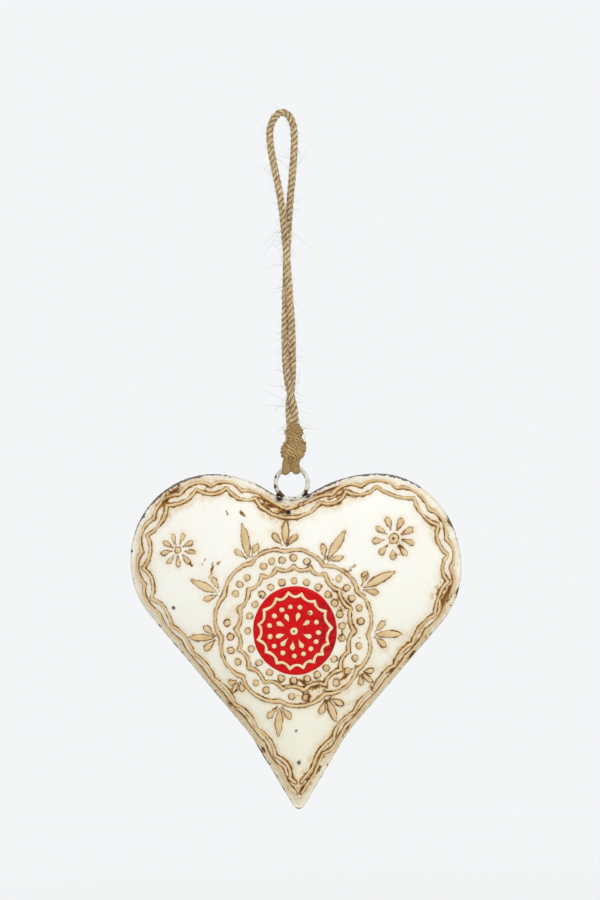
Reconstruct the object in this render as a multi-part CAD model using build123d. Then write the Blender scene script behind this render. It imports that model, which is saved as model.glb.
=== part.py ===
"""A hanging tin heart: two domed tinplate halves, a wire ring in the notch, a jute loop and
piped paste ornament round a red enamelled centre.

The heart is drawn lying on its back: x across, y up from the tip, z out towards the viewer.
It is then stood upright and hung so that the inside top of the twine loop is the origin.
"""
from build123d import *
import bisect
import math
import os

# Rim of the heart, across from the middle line and up from the tip
LEFT_REACH = 78.2
RIGHT_REACH = 80.5
LEFT_LOBE_HEIGHT = 41.2
RIGHT_LOBE_HEIGHT = 45.0
LEFT_LOBE_OFFSET = 38.6
RIGHT_LOBE_OFFSET = 40.4
LOBE_RISE = 161.4
RIGHT_LOBE_DROP = 1.4
NOTCH_DEPTH = 12.4
NOTCH_RADIUS = 20.0
SIDE_RADIUS = 41.2
LEFT_WAIST_OFFSET = 22.1
RIGHT_WAIST_OFFSET = 23.7
WAIST_RISE = 35.8
WAIST_RADIUS = 60.0
TIP_INNER_RADIUS = 0.6

# Tinplate halves and the solder along their joint
SHEET = 0.5
LIP_WIDTH = 1.6
CROWN = 17.0
CROWN_SHARE = 0.6175
CROWN_ROUND_RADIUS = 66.0
CROWN_FLAT_SHARE = 0.1
SEAM_WIDTH = 0.4
SEAM_DEPTH = 1.4

# Hanging ring, seated in the notch and soldered on both sides
RING_RADIUS = 7.7
RING_WIRE = 2.2
RING_SEAT_DEPTH = 1.2
RING_SEAT_GAP = 0.05
SOLDER_RADIUS = 1.9
SOLDER_CREASE = 0.3
SOLDER_GAP = 0.05

# The heart that the ornament's places are drawn for; they are fitted to the heart's own size
DRAWN_LEFT_REACH = 78.2
DRAWN_RIGHT_REACH = 80.5
DRAWN_NOTCH_RISE = 149.0

# Red enamel on the crown, and the paste that is piped over paint and enamel
PAINT_GAP = 0.12
ENAMEL = 0.3
ENAMEL_CENTRE = Vector(0.0, 86.4)
ENAMEL_HALF_WIDTH = 20.0
ENAMEL_HALF_HEIGHT = 21.2
BEAD_HALF_WIDTH = 0.65
BEAD_HEIGHT = 0.7
BEAD_CUSP_SWELL = 0.5
CUSP_SWELL_SHARE = 0.33
SCALLOP_FULLNESS = 0.7
BEAD_END_GAP_SHARE = 0.2
BEAD_END_OFFSET = 1.0
BEAD_PROFILE = ((-1, 0), (1, 0), (0.5, 1), (-0.5, 1))
POINTED_HALF_WIDTH = 0.15

# Scalloped border: cusps of the inner bead as shares of the way from the notch to the tip
LEFT_CUSPS = (0.064, 0.131, 0.199, 0.277, 0.358, 0.432, 0.502, 0.571, 0.637, 0.7, 0.763, 0.825, 0.887, 0.938)
RIGHT_CUSPS = (0.044, 0.104, 0.17, 0.259, 0.341, 0.408, 0.467, 0.547, 0.616, 0.67, 0.731, 0.787, 0.847, 0.917)
OUTER_BULGE_INSET = 3.0
OUTER_CUSP_INSET = 5.2
INNER_CUSP_INSET = 5.9
INNER_BULGE_INSET = 9.2
BORDER_LEAST_INSET = 2.25
OUTER_SQUEEZE = 0.9
INNER_SQUEEZE = 0.52
LOWER_START = 0.46
LOWER_SPAN = 0.52
OUTER_TIP_RISE = 7.4
OUTER_TIP_BULGE = 1.0
INNER_TIP_RISE = 13.0
INNER_TIP_BULGE = 0.0
BORDER_STEPS = 6

# Medallion round the enamel: angles run clockwise from straight up
MEDALLION_CENTRE = Vector(-0.6, 86.2)
# Cusp angle and radius of the outer ring, then heading and full length of the sprig beyond it
OUTER_RING = (
    (26, 34.2, 34, 18.0), (59, 35.7, 65, 18.4), (94, 35.5, 91, 14.4), (123, 35.3, 133, 11.4),
    (155, 33.6, 160, 14.0), (192, 34.2, 184, 15.4), (229, 33.0, 210, 9.6), (266, 34.7, 271, 14.0),
    (298, 37.2, 296, 15.5), (329, 38.0, 350, 17.5), (355, 38.0, 4, 14.0))
OUTER_RING_BULGE = 2.2
INNER_RING = (
    (1, 31.0), (16, 31.2), (30, 31.0), (49, 29.3), (70, 29.4), (91, 28.9), (112, 28.2),
    (131, 29.0), (151, 29.6), (171, 28.8), (192, 28.2), (211, 28.3), (232, 27.7), (252, 27.7),
    (273, 27.6), (294, 28.2), (314, 29.2), (331, 30.4), (346, 31.0))
INNER_RING_BULGE = -2.0
CENTRE_RING = (
    (13, 18.1), (36, 17.3), (59, 17.8), (86, 18.3), (111, 17.6), (130, 17.6), (148, 17.6),
    (167, 18.0), (187, 18.0), (209, 17.1), (234, 16.6), (258, 17.3), (282, 17.0), (307, 17.4),
    (333, 17.6), (354, 18.4))
CENTRE_RING_BULGE = -1.8
RING_STEPS = 6
OUTER_DOTS = (1, 12, 42, 52, 62, 72, 83, 104, 115, 128, 142, 171, 183, 206, 217, 242, 254, 266,
              278, 304, 312, 320, 336, 343.5, 352)
INNER_DOTS = (0, 15, 31, 45, 58, 72, 86, 100, 126, 140, 153, 166, 183, 198, 214, 231, 249, 270,
              288, 303, 317, 331, 345)
CENTRE_DOTS = (15, 43, 70, 94, 116, 137, 158, 180, 208, 234, 258, 284, 309, 332, 353)
DOT_RADIUS = 1.5
DOT_HEIGHT = 0.9
CENTRE_DOT_RADIUS = 1.25
CENTRE_DOT_ORBIT = 11.7
INNER_DOT_CLEARANCE = 1.1
CENTRE_PETALS = (17, 58, 110, 152, 185, 222, 253, 299, 335)
CENTRE_PETAL_REACH = (4.2, 9.2)
CENTRE_PETAL_HALF_WIDTH = 1.35
CENTRE_BOSS_RADIUS = 2.0
LEAF_STEPS = 6
LEAF_FULLNESS = 0.8
DROP_SKEW = 2.1

# Three-leaf sprigs, and the two flowers on the lobes
SPRIG_STAND_OFF = 1.8
SPRIG_LEAF_START = 1.9
SPRIG_LEAF_WIDEST = 3.8
SPRIG_LEAF_WIDTH_SHARE = 0.25
SPRIG_SIDE_START = 1.6
SPRIG_SIDE_SHARE = 0.8
SPRIG_SIDE_LONGEST = 8.8
SPRIG_SIDE_HALF_WIDTH = 1.45
SPRIG_SPREAD = (-43.0, 40.0)
SPRIG_BORDER_GAP = 0.4
SPRIG_TRIM = 0.2
FLOWER_PETALS = 9
FLOWER_BORDER_GAP = 0.4
FLOWER_MOVE = 0.2
RIGHT_FLOWER_CENTRE = Vector(48.2, 129.1)
RIGHT_FLOWER_REACH = (4.2, 10.4)
RIGHT_FLOWER_HALF_WIDTH = 1.5
RIGHT_FLOWER_BOSS_RADIUS = 2.4
RIGHT_FLOWER_TURN = 24.0
LEFT_FLOWER_CENTRE = Vector(-55.1, 125.8)
LEFT_FLOWER_REACH = (2.9, 8.2)
LEFT_FLOWER_HALF_WIDTH = 1.15
LEFT_FLOWER_BOSS_RADIUS = 1.5
LEFT_FLOWER_TURN = 20.0

# Jute twine: from where the loop hangs down to the middle of the ring's wire at its top
TWINE_DROP = 169.4
TWINE = 3.4
TWINE_BREAK = 0.3
TWIST_Z = -90.0
HITCH_WIDTH = 4.0
HITCH_THICKNESS = 2.2
HITCH_GAP = 0.3
HITCH_WIRE_CLEARANCE = 1.1
HITCH_RISE = 3.4
MAIN_KNOT_HEIGHT = 10.7
MAIN_KNOT_RADIUS = 6.2
MAIN_KNOT_FOOT_RADIUS = 5.6
MAIN_KNOT_TOP_RADIUS = 4.3
SMALL_KNOT_HEIGHT = 7.2
SMALL_KNOT_RADIUS = 4.6
SMALL_KNOT_TOP_RADIUS = 3.6
LEG_SPACING = 3.7

NOTCH_RISE = LOBE_RISE - NOTCH_DEPTH
RIGHT_LOBE_RISE = LOBE_RISE - RIGHT_LOBE_DROP
LEFT_SCALE = LEFT_REACH / DRAWN_LEFT_REACH
RIGHT_SCALE = RIGHT_REACH / DRAWN_RIGHT_REACH
RISE_SCALE = NOTCH_RISE / DRAWN_NOTCH_RISE
LEAST_SCALE = min(LEFT_SCALE, RIGHT_SCALE, RISE_SCALE)
MOST_SCALE = max(LEFT_SCALE, RIGHT_SCALE, RISE_SCALE)

MAIN_KNOT_FOOT_Z = -TWINE_DROP + HITCH_RISE
MAIN_KNOT_TOP_Z = MAIN_KNOT_FOOT_Z + MAIN_KNOT_HEIGHT
SMALL_KNOT_TOP_Z = MAIN_KNOT_TOP_Z + SMALL_KNOT_HEIGHT
BEND_Z = SMALL_KNOT_TOP_Z + TWINE_BREAK + TWINE / 2

# Hand-chosen route of the twine: up the left leg, over the loop and down the right leg
LOOP_ROUTE = (
    (1.1, -1.6, TWIST_Z + TWINE_BREAK / 2), (0.6, -1.85, -79), (-0.1, -1.95, -66.5),
    (-0.9, -1.8, -54), (-1.9, -1.4, -43), (-3.5, -0.9, -32.5), (-5.5, -0.4, -22.5),
    (-7.0, -0.1, -13), (-6.8, 0, -4.6), (-2.9, 0, 1.7), (1.7, 0, 1.7), (4.7, 0, -4),
    (5.0, 0.05, -12), (4.3, 0.3, -21.5), (3.2, 0.8, -31.5), (2.0, 1.3, -42.5), (1.0, 1.75, -54),
    (0.1, 1.95, -66.5), (-0.6, 1.85, -79), (-1.1, 1.6, TWIST_Z + TWINE_BREAK / 2))
LEFT_LEG_ROUTE = (
    (1.1, -1.6, TWIST_Z - TWINE_BREAK / 2), (1.65, -1.2, -99), (2.0, -0.35, -108.5),
    (1.9, 0.6, -117.5), (1.3, 1.5, -126), (0.2, 2.05, -133.5), (-1.3, 1.65, -140),
    (-LEG_SPACING / 2, 0, BEND_Z))
RIGHT_LEG_ROUTE = tuple((-x, -y, z) for x, y, z in LEFT_LEG_ROUTE)

ROUTE_ARC_SHARE = 0.45
RIM_STEP = 0.5
DOME_COLUMNS = 40
DOME_LEVELS = 12
ROOM_STATIONS = 4
SLOPE_STEP = 0.05
HALVINGS = 40


def tangent_point(centre, radius, outside, turn):
    """Where the line from an outside point touches a circle, on the side that turn picks."""
    reach = outside - centre
    angle = math.atan2(reach.Y, reach.X) + turn * math.acos(radius / reach.length)
    return centre + Vector(math.cos(angle), math.sin(angle)) * radius


def half_rim(reach, lobe_top, lobe_height, waist_offset):
    """Edges of the right half of the rim, from the notch round the lobe to the tip."""
    notch_centre = Vector(0, NOTCH_RISE + NOTCH_RADIUS)
    drop = lobe_top.Y - notch_centre.Y
    top_radius = (lobe_top.X**2 + drop**2 - NOTCH_RADIUS**2) / (2 * (drop + NOTCH_RADIUS))
    to_top_centre = (lobe_top - Vector(0, top_radius) - notch_centre).normalized()
    notch_end = notch_centre + to_top_centre * NOTCH_RADIUS
    lobe_centre = lobe_top - Vector(0, lobe_height)
    widest = Vector(reach, lobe_centre.Y)
    waist = Vector(waist_offset, WAIST_RISE)
    side_end = tangent_point(widest - Vector(SIDE_RADIUS, 0), SIDE_RADIUS, waist, 1)
    tip_radius = LIP_WIDTH + SHEET + TIP_INNER_RADIUS
    tip_start = tangent_point(Vector(0, tip_radius), tip_radius, waist, -1)
    down_side = (waist - side_end).normalized()
    down_waist = (tip_start - waist).normalized()
    waist_length = WAIST_RADIUS * math.tan(math.radians(down_side.get_angle(down_waist)) / 2)
    waist_start = waist - down_side * waist_length
    waist_end = waist + down_waist * waist_length
    return [
        TangentArc(Vector(0, NOTCH_RISE), notch_end, tangent=(1, 0)),
        TangentArc(notch_end, lobe_top, tangent=(-to_top_centre.Y, to_top_centre.X)),
        EllipticalCenterArc(
            lobe_centre, reach - lobe_centre.X, lobe_height, start_angle=90, arc_size=-90),
        TangentArc(widest, side_end, tangent=(0, -1)),
        Line(side_end, waist_start),
        TangentArc(waist_start, waist_end, tangent=down_side),
        Line(waist_end, tip_start),
        TangentArc(tip_start, Vector(0, 0), tangent=down_waist),
    ]


def walk(edges, side):
    """Stations every RIM_STEP along a half rim: distance, place and inward direction."""
    stations = []
    done = 0.0
    for edge in edges:
        count = max(2, round(edge.length / RIM_STEP))
        for i in range(count):
            along = edge.tangent_at(i / count)
            inward = Vector(along.Y, -along.X) * side
            stations.append((done + edge.length * i / count, edge.position_at(i / count), inward))
        done += edge.length
    stations.append((done, edges[-1].position_at(1), Vector(0, 1)))
    return stations


RIGHT_EDGES = half_rim(
    RIGHT_REACH, Vector(RIGHT_LOBE_OFFSET, RIGHT_LOBE_RISE), RIGHT_LOBE_HEIGHT, RIGHT_WAIST_OFFSET)
LEFT_HALF = half_rim(
    LEFT_REACH, Vector(LEFT_LOBE_OFFSET, LOBE_RISE), LEFT_LOBE_HEIGHT, LEFT_WAIST_OFFSET)
LEFT_EDGES = [edge.mirror(Plane.YZ) for edge in LEFT_HALF]
RIM = Face(Wire(RIGHT_EDGES + LEFT_EDGES))
RIGHT_WALK = walk(RIGHT_EDGES, 1)
LEFT_WALK = walk(LEFT_EDGES, -1)
CROWN_POINT = Vector(0, CROWN_SHARE * NOTCH_RISE)
RING_CENTRE = Vector(0, NOTCH_RISE + RING_RADIUS + RING_WIRE / 2 - RING_SEAT_DEPTH)
RING_SEAT_RADIUS = RING_RADIUS + RING_WIRE / 2 + RING_SEAT_GAP
HANG = Location((0, 0, -TWINE_DROP - RING_RADIUS - RING_CENTRE.Y)) * Plane.XZ.location
# Shares of a half rim's length, packed closer where it turns tightly at the notch and the tip
COLUMN_SHARES = [(1 - math.cos(math.pi * i / DOME_COLUMNS)) / 2 for i in range(DOME_COLUMNS + 1)]


def rim_point(stations, distance, inset):
    """The plan point at a distance along a half rim, moved inwards."""
    i = bisect.bisect_right(stations, distance, key=lambda station: station[0])
    i = min(i, len(stations) - 1)
    start, place, inward = stations[i - 1]
    end, next_place, next_inward = stations[i]
    share = (distance - start) / (end - start)
    return place + (next_place - place) * share + (inward + (next_inward - inward) * share) * inset


def level_reach(share, foot, round_radius):
    """Plan distance from the crown at a level: heart-shaped at the foot, round near the top."""
    return share**3 * foot + (share - share**3) * round_radius


def dome(inset, crown):
    """A solid half heart that swells from an inset foot to a crown height."""
    round_radius = CROWN_ROUND_RADIUS - (inset - LIP_WIDTH)
    wires = []
    for level in range(DOME_LEVELS + 1):
        angle = math.acos(CROWN_FLAT_SHARE) * level / DOME_LEVELS
        edges = []
        for stations in (RIGHT_WALK, LEFT_WALK):
            points = []
            for share in COLUMN_SHARES:
                foot = rim_point(stations, share * stations[-1][0], inset) - CROWN_POINT
                reach = level_reach(math.cos(angle), foot.length, round_radius)
                plan = CROWN_POINT + foot.normalized() * reach
                points.append(plan + Vector(0, 0, crown * math.sin(angle)))
            edges.append(Edge.make_spline(points, parameters=COLUMN_SHARES))
        wires.append(Wire(edges))
    return Solid.make_loft(wires)


def foot_bearings():
    """Angle round the crown and reach of the dome's foot, once round from the notch."""
    bearings = []
    for stations, turn in ((RIGHT_WALK, 0), (LEFT_WALK[::-1], math.tau)):
        for _, place, inward in stations:
            foot = place + inward * LIP_WIDTH - CROWN_POINT
            angle = math.atan2(abs(foot.X), foot.Y)
            bearings.append((abs(turn - angle), foot.length))
    return bearings


BEARINGS = foot_bearings()


def dome_height(x, y):
    """Height of the front dome over a plan point."""
    reach = Vector(x, y) - CROWN_POINT
    angle = math.atan2(reach.X, reach.Y) % math.tau
    i = min(bisect.bisect_right(BEARINGS, angle, key=lambda bearing: bearing[0]), len(BEARINGS) - 1)
    before, after = BEARINGS[i - 1], BEARINGS[i]
    span = after[0] - before[0]
    share = (angle - before[0]) / span if span else 0.0
    foot = before[1] + (after[1] - before[1]) * share
    low, high = CROWN_FLAT_SHARE, 1.0
    for _ in range(HALVINGS):
        middle = (low + high) / 2
        if level_reach(middle, foot, CROWN_ROUND_RADIUS) < reach.length:
            low = middle
        else:
            high = middle
    return CROWN * math.sqrt(1 - low**2)


def on_dome(x, y, lift):
    """A point at a lift off the front dome, and the dome's outward direction there."""
    slope_x = (dome_height(x + SLOPE_STEP, y) - dome_height(x - SLOPE_STEP, y)) / (2 * SLOPE_STEP)
    slope_y = (dome_height(x, y + SLOPE_STEP) - dome_height(x, y - SLOPE_STEP)) / (2 * SLOPE_STEP)
    outward = Vector(-slope_x, -slope_y, 1).normalized()
    return Vector(x, y, dome_height(x, y)) + outward * lift, outward


def bead(path, lift):
    """A piped ridge along plan points, each with its half width: flat below, rounded above."""
    placed = [on_dome(point.X, point.Y, lift) for point, _ in path]
    wires = []
    for i, (base, outward) in enumerate(placed):
        along = placed[min(i + 1, len(path) - 1)][0] - placed[max(i - 1, 0)][0]
        across = outward.cross(along).normalized()
        half = path[i][1]
        rise = min(BEAD_HEIGHT, half * BEAD_HEIGHT / BEAD_HALF_WIDTH)
        wires.append(Wire.make_polygon(
            [base + across * (half * a) + outward * (rise * b) for a, b in BEAD_PROFILE]))
    return Solid.make_loft(wires, ruled=True)


def scallop(share):
    """How far along its bulge a scallop is, and the bead's half width, between two cusps."""
    from_cusp = min(share, 1 - share)
    swell = BEAD_CUSP_SWELL * max(0.0, 1 - from_cusp / CUSP_SWELL_SHARE)
    return math.sin(math.pi * share) ** SCALLOP_FULLNESS, BEAD_HALF_WIDTH * (1 + swell)


def inner_cusps():
    """Cusps of the inner border, signed along the rim from the notch: left is negative."""
    left = [-share * LEFT_WALK[-1][0] for share in reversed(LEFT_CUSPS)]
    right = [share * RIGHT_WALK[-1][0] for share in RIGHT_CUSPS]
    return left + right


def border_inset(stations, distance, inset, squeeze):
    """An inset of the border, drawn closer to the rim part of the way down a side."""
    down = (distance / stations[-1][0] - LOWER_START) / LOWER_SPAN
    share = 1 - squeeze * math.sin(math.pi * min(max(down, 0), 1))
    return BORDER_LEAST_INSET + (inset - BORDER_LEAST_INSET) * share


def room_to_border(point):
    """Plan room between a point and the deepest that the inner border bead may reach."""
    rooms = [
        (point - place).length - border_inset(stations, distance, INNER_BULGE_INSET, INNER_SQUEEZE)
        for stations in (RIGHT_WALK, LEFT_WALK)
        for distance, place, _ in stations[::ROOM_STATIONS]]
    return min(rooms) - BEAD_HALF_WIDTH


def border_bead(cusps, cusp_inset, bulge_inset, squeeze, tip_rise, tip_bulge):
    """One scalloped bead from the tip up the left side, over the lobes and back to the tip."""
    path = []
    for start, end in zip(cusps, cusps[1:]):
        for i in range(BORDER_STEPS):
            bulge, half = scallop(i / BORDER_STEPS)
            signed = start + (end - start) * i / BORDER_STEPS
            stations = RIGHT_WALK if signed > 0 else LEFT_WALK
            inset = cusp_inset + (bulge_inset - cusp_inset) * bulge
            inset = border_inset(stations, abs(signed), inset, squeeze)
            path.append((rim_point(stations, abs(signed), inset), half))
    path.append((rim_point(RIGHT_WALK, cusps[-1], cusp_inset), BEAD_HALF_WIDTH))
    for side, cusp in ((-1, path[0][0]), (1, path[-1][0])):
        end = Vector(side * BEAD_END_OFFSET, tip_rise)
        middle = (end + cusp) / 2 + Vector(side * tip_bulge, 0)
        lead = [(middle, BEAD_HALF_WIDTH), (end, BEAD_HALF_WIDTH)]
        path = path + lead if side > 0 else lead[::-1] + path
    return bead(path, PAINT_GAP)


def bearing_point(centre, angle, radius):
    """A plan point at a clockwise angle from straight up and a distance from a centre."""
    turn = math.radians(angle)
    return centre + Vector(math.sin(turn), math.cos(turn)) * radius


def fitted(point):
    """A place in the drawn ornament, moved to suit the heart's own reach and rise."""
    return Vector(point.X * (RIGHT_SCALE if point.X > 0 else LEFT_SCALE), point.Y * RISE_SCALE)


def ring_stretches(cusps):
    """Pairs of neighbouring cusps once round a ring, with angles that only rise."""
    closed = [cusp[:2] for cusp in cusps] + [(cusps[0][0] + 360, cusps[0][1])]
    return list(zip(closed, closed[1:]))


def ring_radius(cusps, bulge, angle):
    """Radius of a scalloped ring at an angle."""
    for (start, first), (end, second) in ring_stretches(cusps):
        share = ((angle - start) % 360) / (end - start)
        if share < 1:
            return first + (second - first) * share + bulge * scallop(share)[0]


def scalloped_ring(cusps, bulge, lift):
    """A scalloped bead round the medallion, broken by a hair's gap at the middle of a scallop."""
    path = []
    for (start, first), (end, second) in ring_stretches(cusps):
        for i in range(RING_STEPS):
            rise, half = scallop(i / RING_STEPS)
            angle = start + (end - start) * i / RING_STEPS
            radius = first + (second - first) * i / RING_STEPS + bulge * rise
            path.append((fitted(bearing_point(MEDALLION_CENTRE, angle, radius)), half))
    path = path[RING_STEPS // 2:] + path[:RING_STEPS // 2]
    first, last = path[0][0], path[-1][0]
    path.append((first + (last - first) * BEAD_END_GAP_SHARE, BEAD_HALF_WIDTH))
    return bead(path, lift)


def leaf(start, end, half_width, lift, skew):
    """A dab of paste pointed at its start, and rounder at its end the more it is skewed."""
    path = []
    for i in range(LEAF_STEPS + 1):
        share = i / LEAF_STEPS
        half = LEAST_SCALE * half_width * math.sin(math.pi * share**skew) ** LEAF_FULLNESS
        path.append((fitted(start + (end - start) * share), max(half, POINTED_HALF_WIDTH)))
    return bead(path, lift)


def dab(point, radius, lift):
    """A round dab of paste: a flat-footed cap set square to the dome."""
    sphere_radius = ((LEAST_SCALE * radius)**2 + DOT_HEIGHT**2) / (2 * DOT_HEIGHT)
    foot = sphere_radius - DOT_HEIGHT
    centre = fitted(point)
    base, outward = on_dome(centre.X, centre.Y, lift)
    plane = Plane(origin=base - outward * foot, z_dir=outward)
    return Solid.make_sphere(sphere_radius, plane, angle1=math.degrees(math.asin(foot / sphere_radius)))


def length_to_border(base, heading, length, half_width):
    """A leaf's length, trimmed where the border leaves it less room."""
    while room_to_border(fitted(bearing_point(base, heading, length))) < SPRIG_BORDER_GAP + half_width:
        length -= SPRIG_TRIM
    return length


def sprig(cusp):
    """A pointed leaf between two drop-shaped ones, outside one cusp of the outer ring."""
    angle, radius, heading, full_length = cusp
    base = bearing_point(MEDALLION_CENTRE, angle, radius + SPRIG_STAND_OFF)
    length = length_to_border(base, heading, full_length, POINTED_HALF_WIDTH)
    width = min(SPRIG_LEAF_WIDEST, SPRIG_LEAF_WIDTH_SHARE * length)
    leaves = [leaf(
        bearing_point(base, heading, SPRIG_LEAF_START), bearing_point(base, heading, length),
        width / 2, PAINT_GAP, 1.0)]
    for spread in SPRIG_SPREAD:
        side_length = length_to_border(
            base, heading + spread, min(SPRIG_SIDE_LONGEST, SPRIG_SIDE_SHARE * length),
            SPRIG_SIDE_HALF_WIDTH)
        leaves.append(leaf(
            bearing_point(base, heading + spread, SPRIG_SIDE_START),
            bearing_point(base, heading + spread, side_length),
            SPRIG_SIDE_HALF_WIDTH, PAINT_GAP, DROP_SKEW))
    return Compound(leaves)


def petals(centre, angles, reach, half_width, lift):
    """Drop-shaped petals pointing at a flower's centre."""
    return Compound([
        leaf(bearing_point(centre, angle, reach[0]), bearing_point(centre, angle, reach[1]),
             half_width, lift, DROP_SKEW)
        for angle in angles])


def flower_angles(turn):
    return [turn + 360 * i / FLOWER_PETALS for i in range(FLOWER_PETALS)]


def clear_of_border(centre, reach):
    """A flower's centre, drawn in towards the medallion where the border leaves it less room."""
    while room_to_border(fitted(centre)) < FLOWER_BORDER_GAP + MOST_SCALE * reach:
        centre += (MEDALLION_CENTRE - centre).normalized() * FLOWER_MOVE
    return centre


def tin_halves():
    """Front and back shells, lip to lip, notched for the ring."""
    seat = Pos(RING_CENTRE.X, RING_CENTRE.Y) * Cylinder(RING_SEAT_RADIUS, RING_WIRE)
    lip = extrude(RIM, SHEET, dir=(0, 0, 1)) - seat
    front = lip + dome(LIP_WIDTH, CROWN) - dome(LIP_WIDTH + SHEET, CROWN - SHEET)
    return front, mirror(front, Plane.XY)


def grown_rim(width):
    """The rim's outline, moved outwards."""
    edges = []
    for stations in (RIGHT_WALK, LEFT_WALK):
        points = [rim_point(stations, share * stations[-1][0], -width) for share in COLUMN_SHARES]
        edges.append(Edge.make_spline(points, parameters=COLUMN_SHARES))
    return Face(Wire(edges))


def solder_seam():
    """A thread of solder round the joint of the two lips, open where the ring sits."""
    seat = Pos(RING_CENTRE.X, RING_CENTRE.Y) * Circle(RING_SEAT_RADIUS)
    band = grown_rim(SEAM_WIDTH) - RIM - seat
    return Pos(0, 0, -SEAM_DEPTH / 2) * extrude(band, SEAM_DEPTH, dir=(0, 0, 1))


def hanging_ring(wire):
    """A ring of a given wire thickness, standing in the notch."""
    return Pos(RING_CENTRE.X, RING_CENTRE.Y) * Torus(RING_RADIUS, wire / 2)


def ring_solder(stations):
    """A lump of solder in the crease where the ring rises out of one side of the rim."""
    crease = RING_RADIUS + RING_WIRE / 2 + SOLDER_CREASE
    spot = next(place for _, place, _ in stations if (place - RING_CENTRE).length > crease)
    lump = Pos(spot.X, spot.Y) * Sphere(SOLDER_RADIUS)
    rim = grown_rim(SEAM_WIDTH + SOLDER_GAP)
    tin = Pos(0, 0, -SOLDER_RADIUS) * extrude(rim, 2 * SOLDER_RADIUS, dir=(0, 0, 1))
    pieces = (lump - hanging_ring(RING_WIRE + 2 * SOLDER_GAP) - tin).solids()
    return max(pieces, key=lambda piece: piece.volume)


def enamel_disc():
    """The red film: a slice between two swollen copies of the dome, cut to an ellipse."""
    slice_above = dome(LIP_WIDTH, CROWN + PAINT_GAP + ENAMEL) - dome(LIP_WIDTH, CROWN + PAINT_GAP)
    centre = fitted(ENAMEL_CENTRE)
    oval = Ellipse(LEAST_SCALE * ENAMEL_HALF_WIDTH, LEAST_SCALE * ENAMEL_HALF_HEIGHT)
    return slice_above & Pos(centre.X, centre.Y) * extrude(oval, 2 * CROWN)


def route_radii(route):
    """The largest arc that each corner of a cord's route has room for."""
    points = [Vector(point) for point in route]
    radii = []
    for before, corner, after in zip(points, points[1:], points[2:]):
        half_turn = math.radians((corner - before).get_angle(after - corner)) / 2
        shorter = min((corner - before).length, (after - corner).length)
        radii.append(ROUTE_ARC_SHARE * shorter / math.tan(half_turn))
    return radii


def twine(name, route):
    """A round tube along a route of straight runs and tangent arcs."""
    radii = route_radii(route)
    print(name, "radii", [round(radius, 1) for radius in radii])
    path = FilletPolyline(*route, radius=radii)
    section = Plane(origin=path @ 0, z_dir=path % 0) * Circle(TWINE / 2)
    tube = sweep(section, path)
    ideal = math.pi * TWINE**2 / 4 * path.length
    print(name, "length", round(path.length, 1), "volume share", round(tube.volume / ideal, 4))
    return tube


def twine_leg(name, route):
    """A leg of the stem, rounded off at its foot so that the knot can swing under it."""
    return twine(name, route) + Pos(*route[-1]) * Sphere(TWINE / 2)


def knot(foot_z, height, foot_radius, widest_radius, top_radius):
    """A rounded lump of knotted twine with a flat foot and a flat top."""
    profile = Face(Wire([
        Line((0, foot_z), (foot_radius, foot_z)),
        ThreePointArc(
            (foot_radius, foot_z), (widest_radius, foot_z + height / 2), (top_radius, foot_z + height)),
        Line((top_radius, foot_z + height), (0, foot_z + height)),
        Line((0, foot_z + height), (0, foot_z)),
    ]))
    return revolve(Plane.XZ * profile, Axis.Z)


def hitch(side):
    """One flattened strand from the knot, round the top of the ring's wire and back."""
    x = side * (HITCH_WIDTH + HITCH_GAP) / 2
    bend = RING_WIRE / 2 + HITCH_THICKNESS / 2 + HITCH_WIRE_CLEARANCE
    path = Wire([
        Line((x, -bend, MAIN_KNOT_FOOT_Z), (x, -bend, -TWINE_DROP)),
        ThreePointArc((x, -bend, -TWINE_DROP), (x, 0, -TWINE_DROP - bend), (x, bend, -TWINE_DROP)),
        Line((x, bend, -TWINE_DROP), (x, bend, MAIN_KNOT_FOOT_Z)),
    ])
    section = Plane(origin=path @ 0, x_dir=(1, 0, 0), z_dir=path % 0) * Ellipse(
        HITCH_WIDTH / 2, HITCH_THICKNESS / 2)
    return sweep(section, path)


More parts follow.
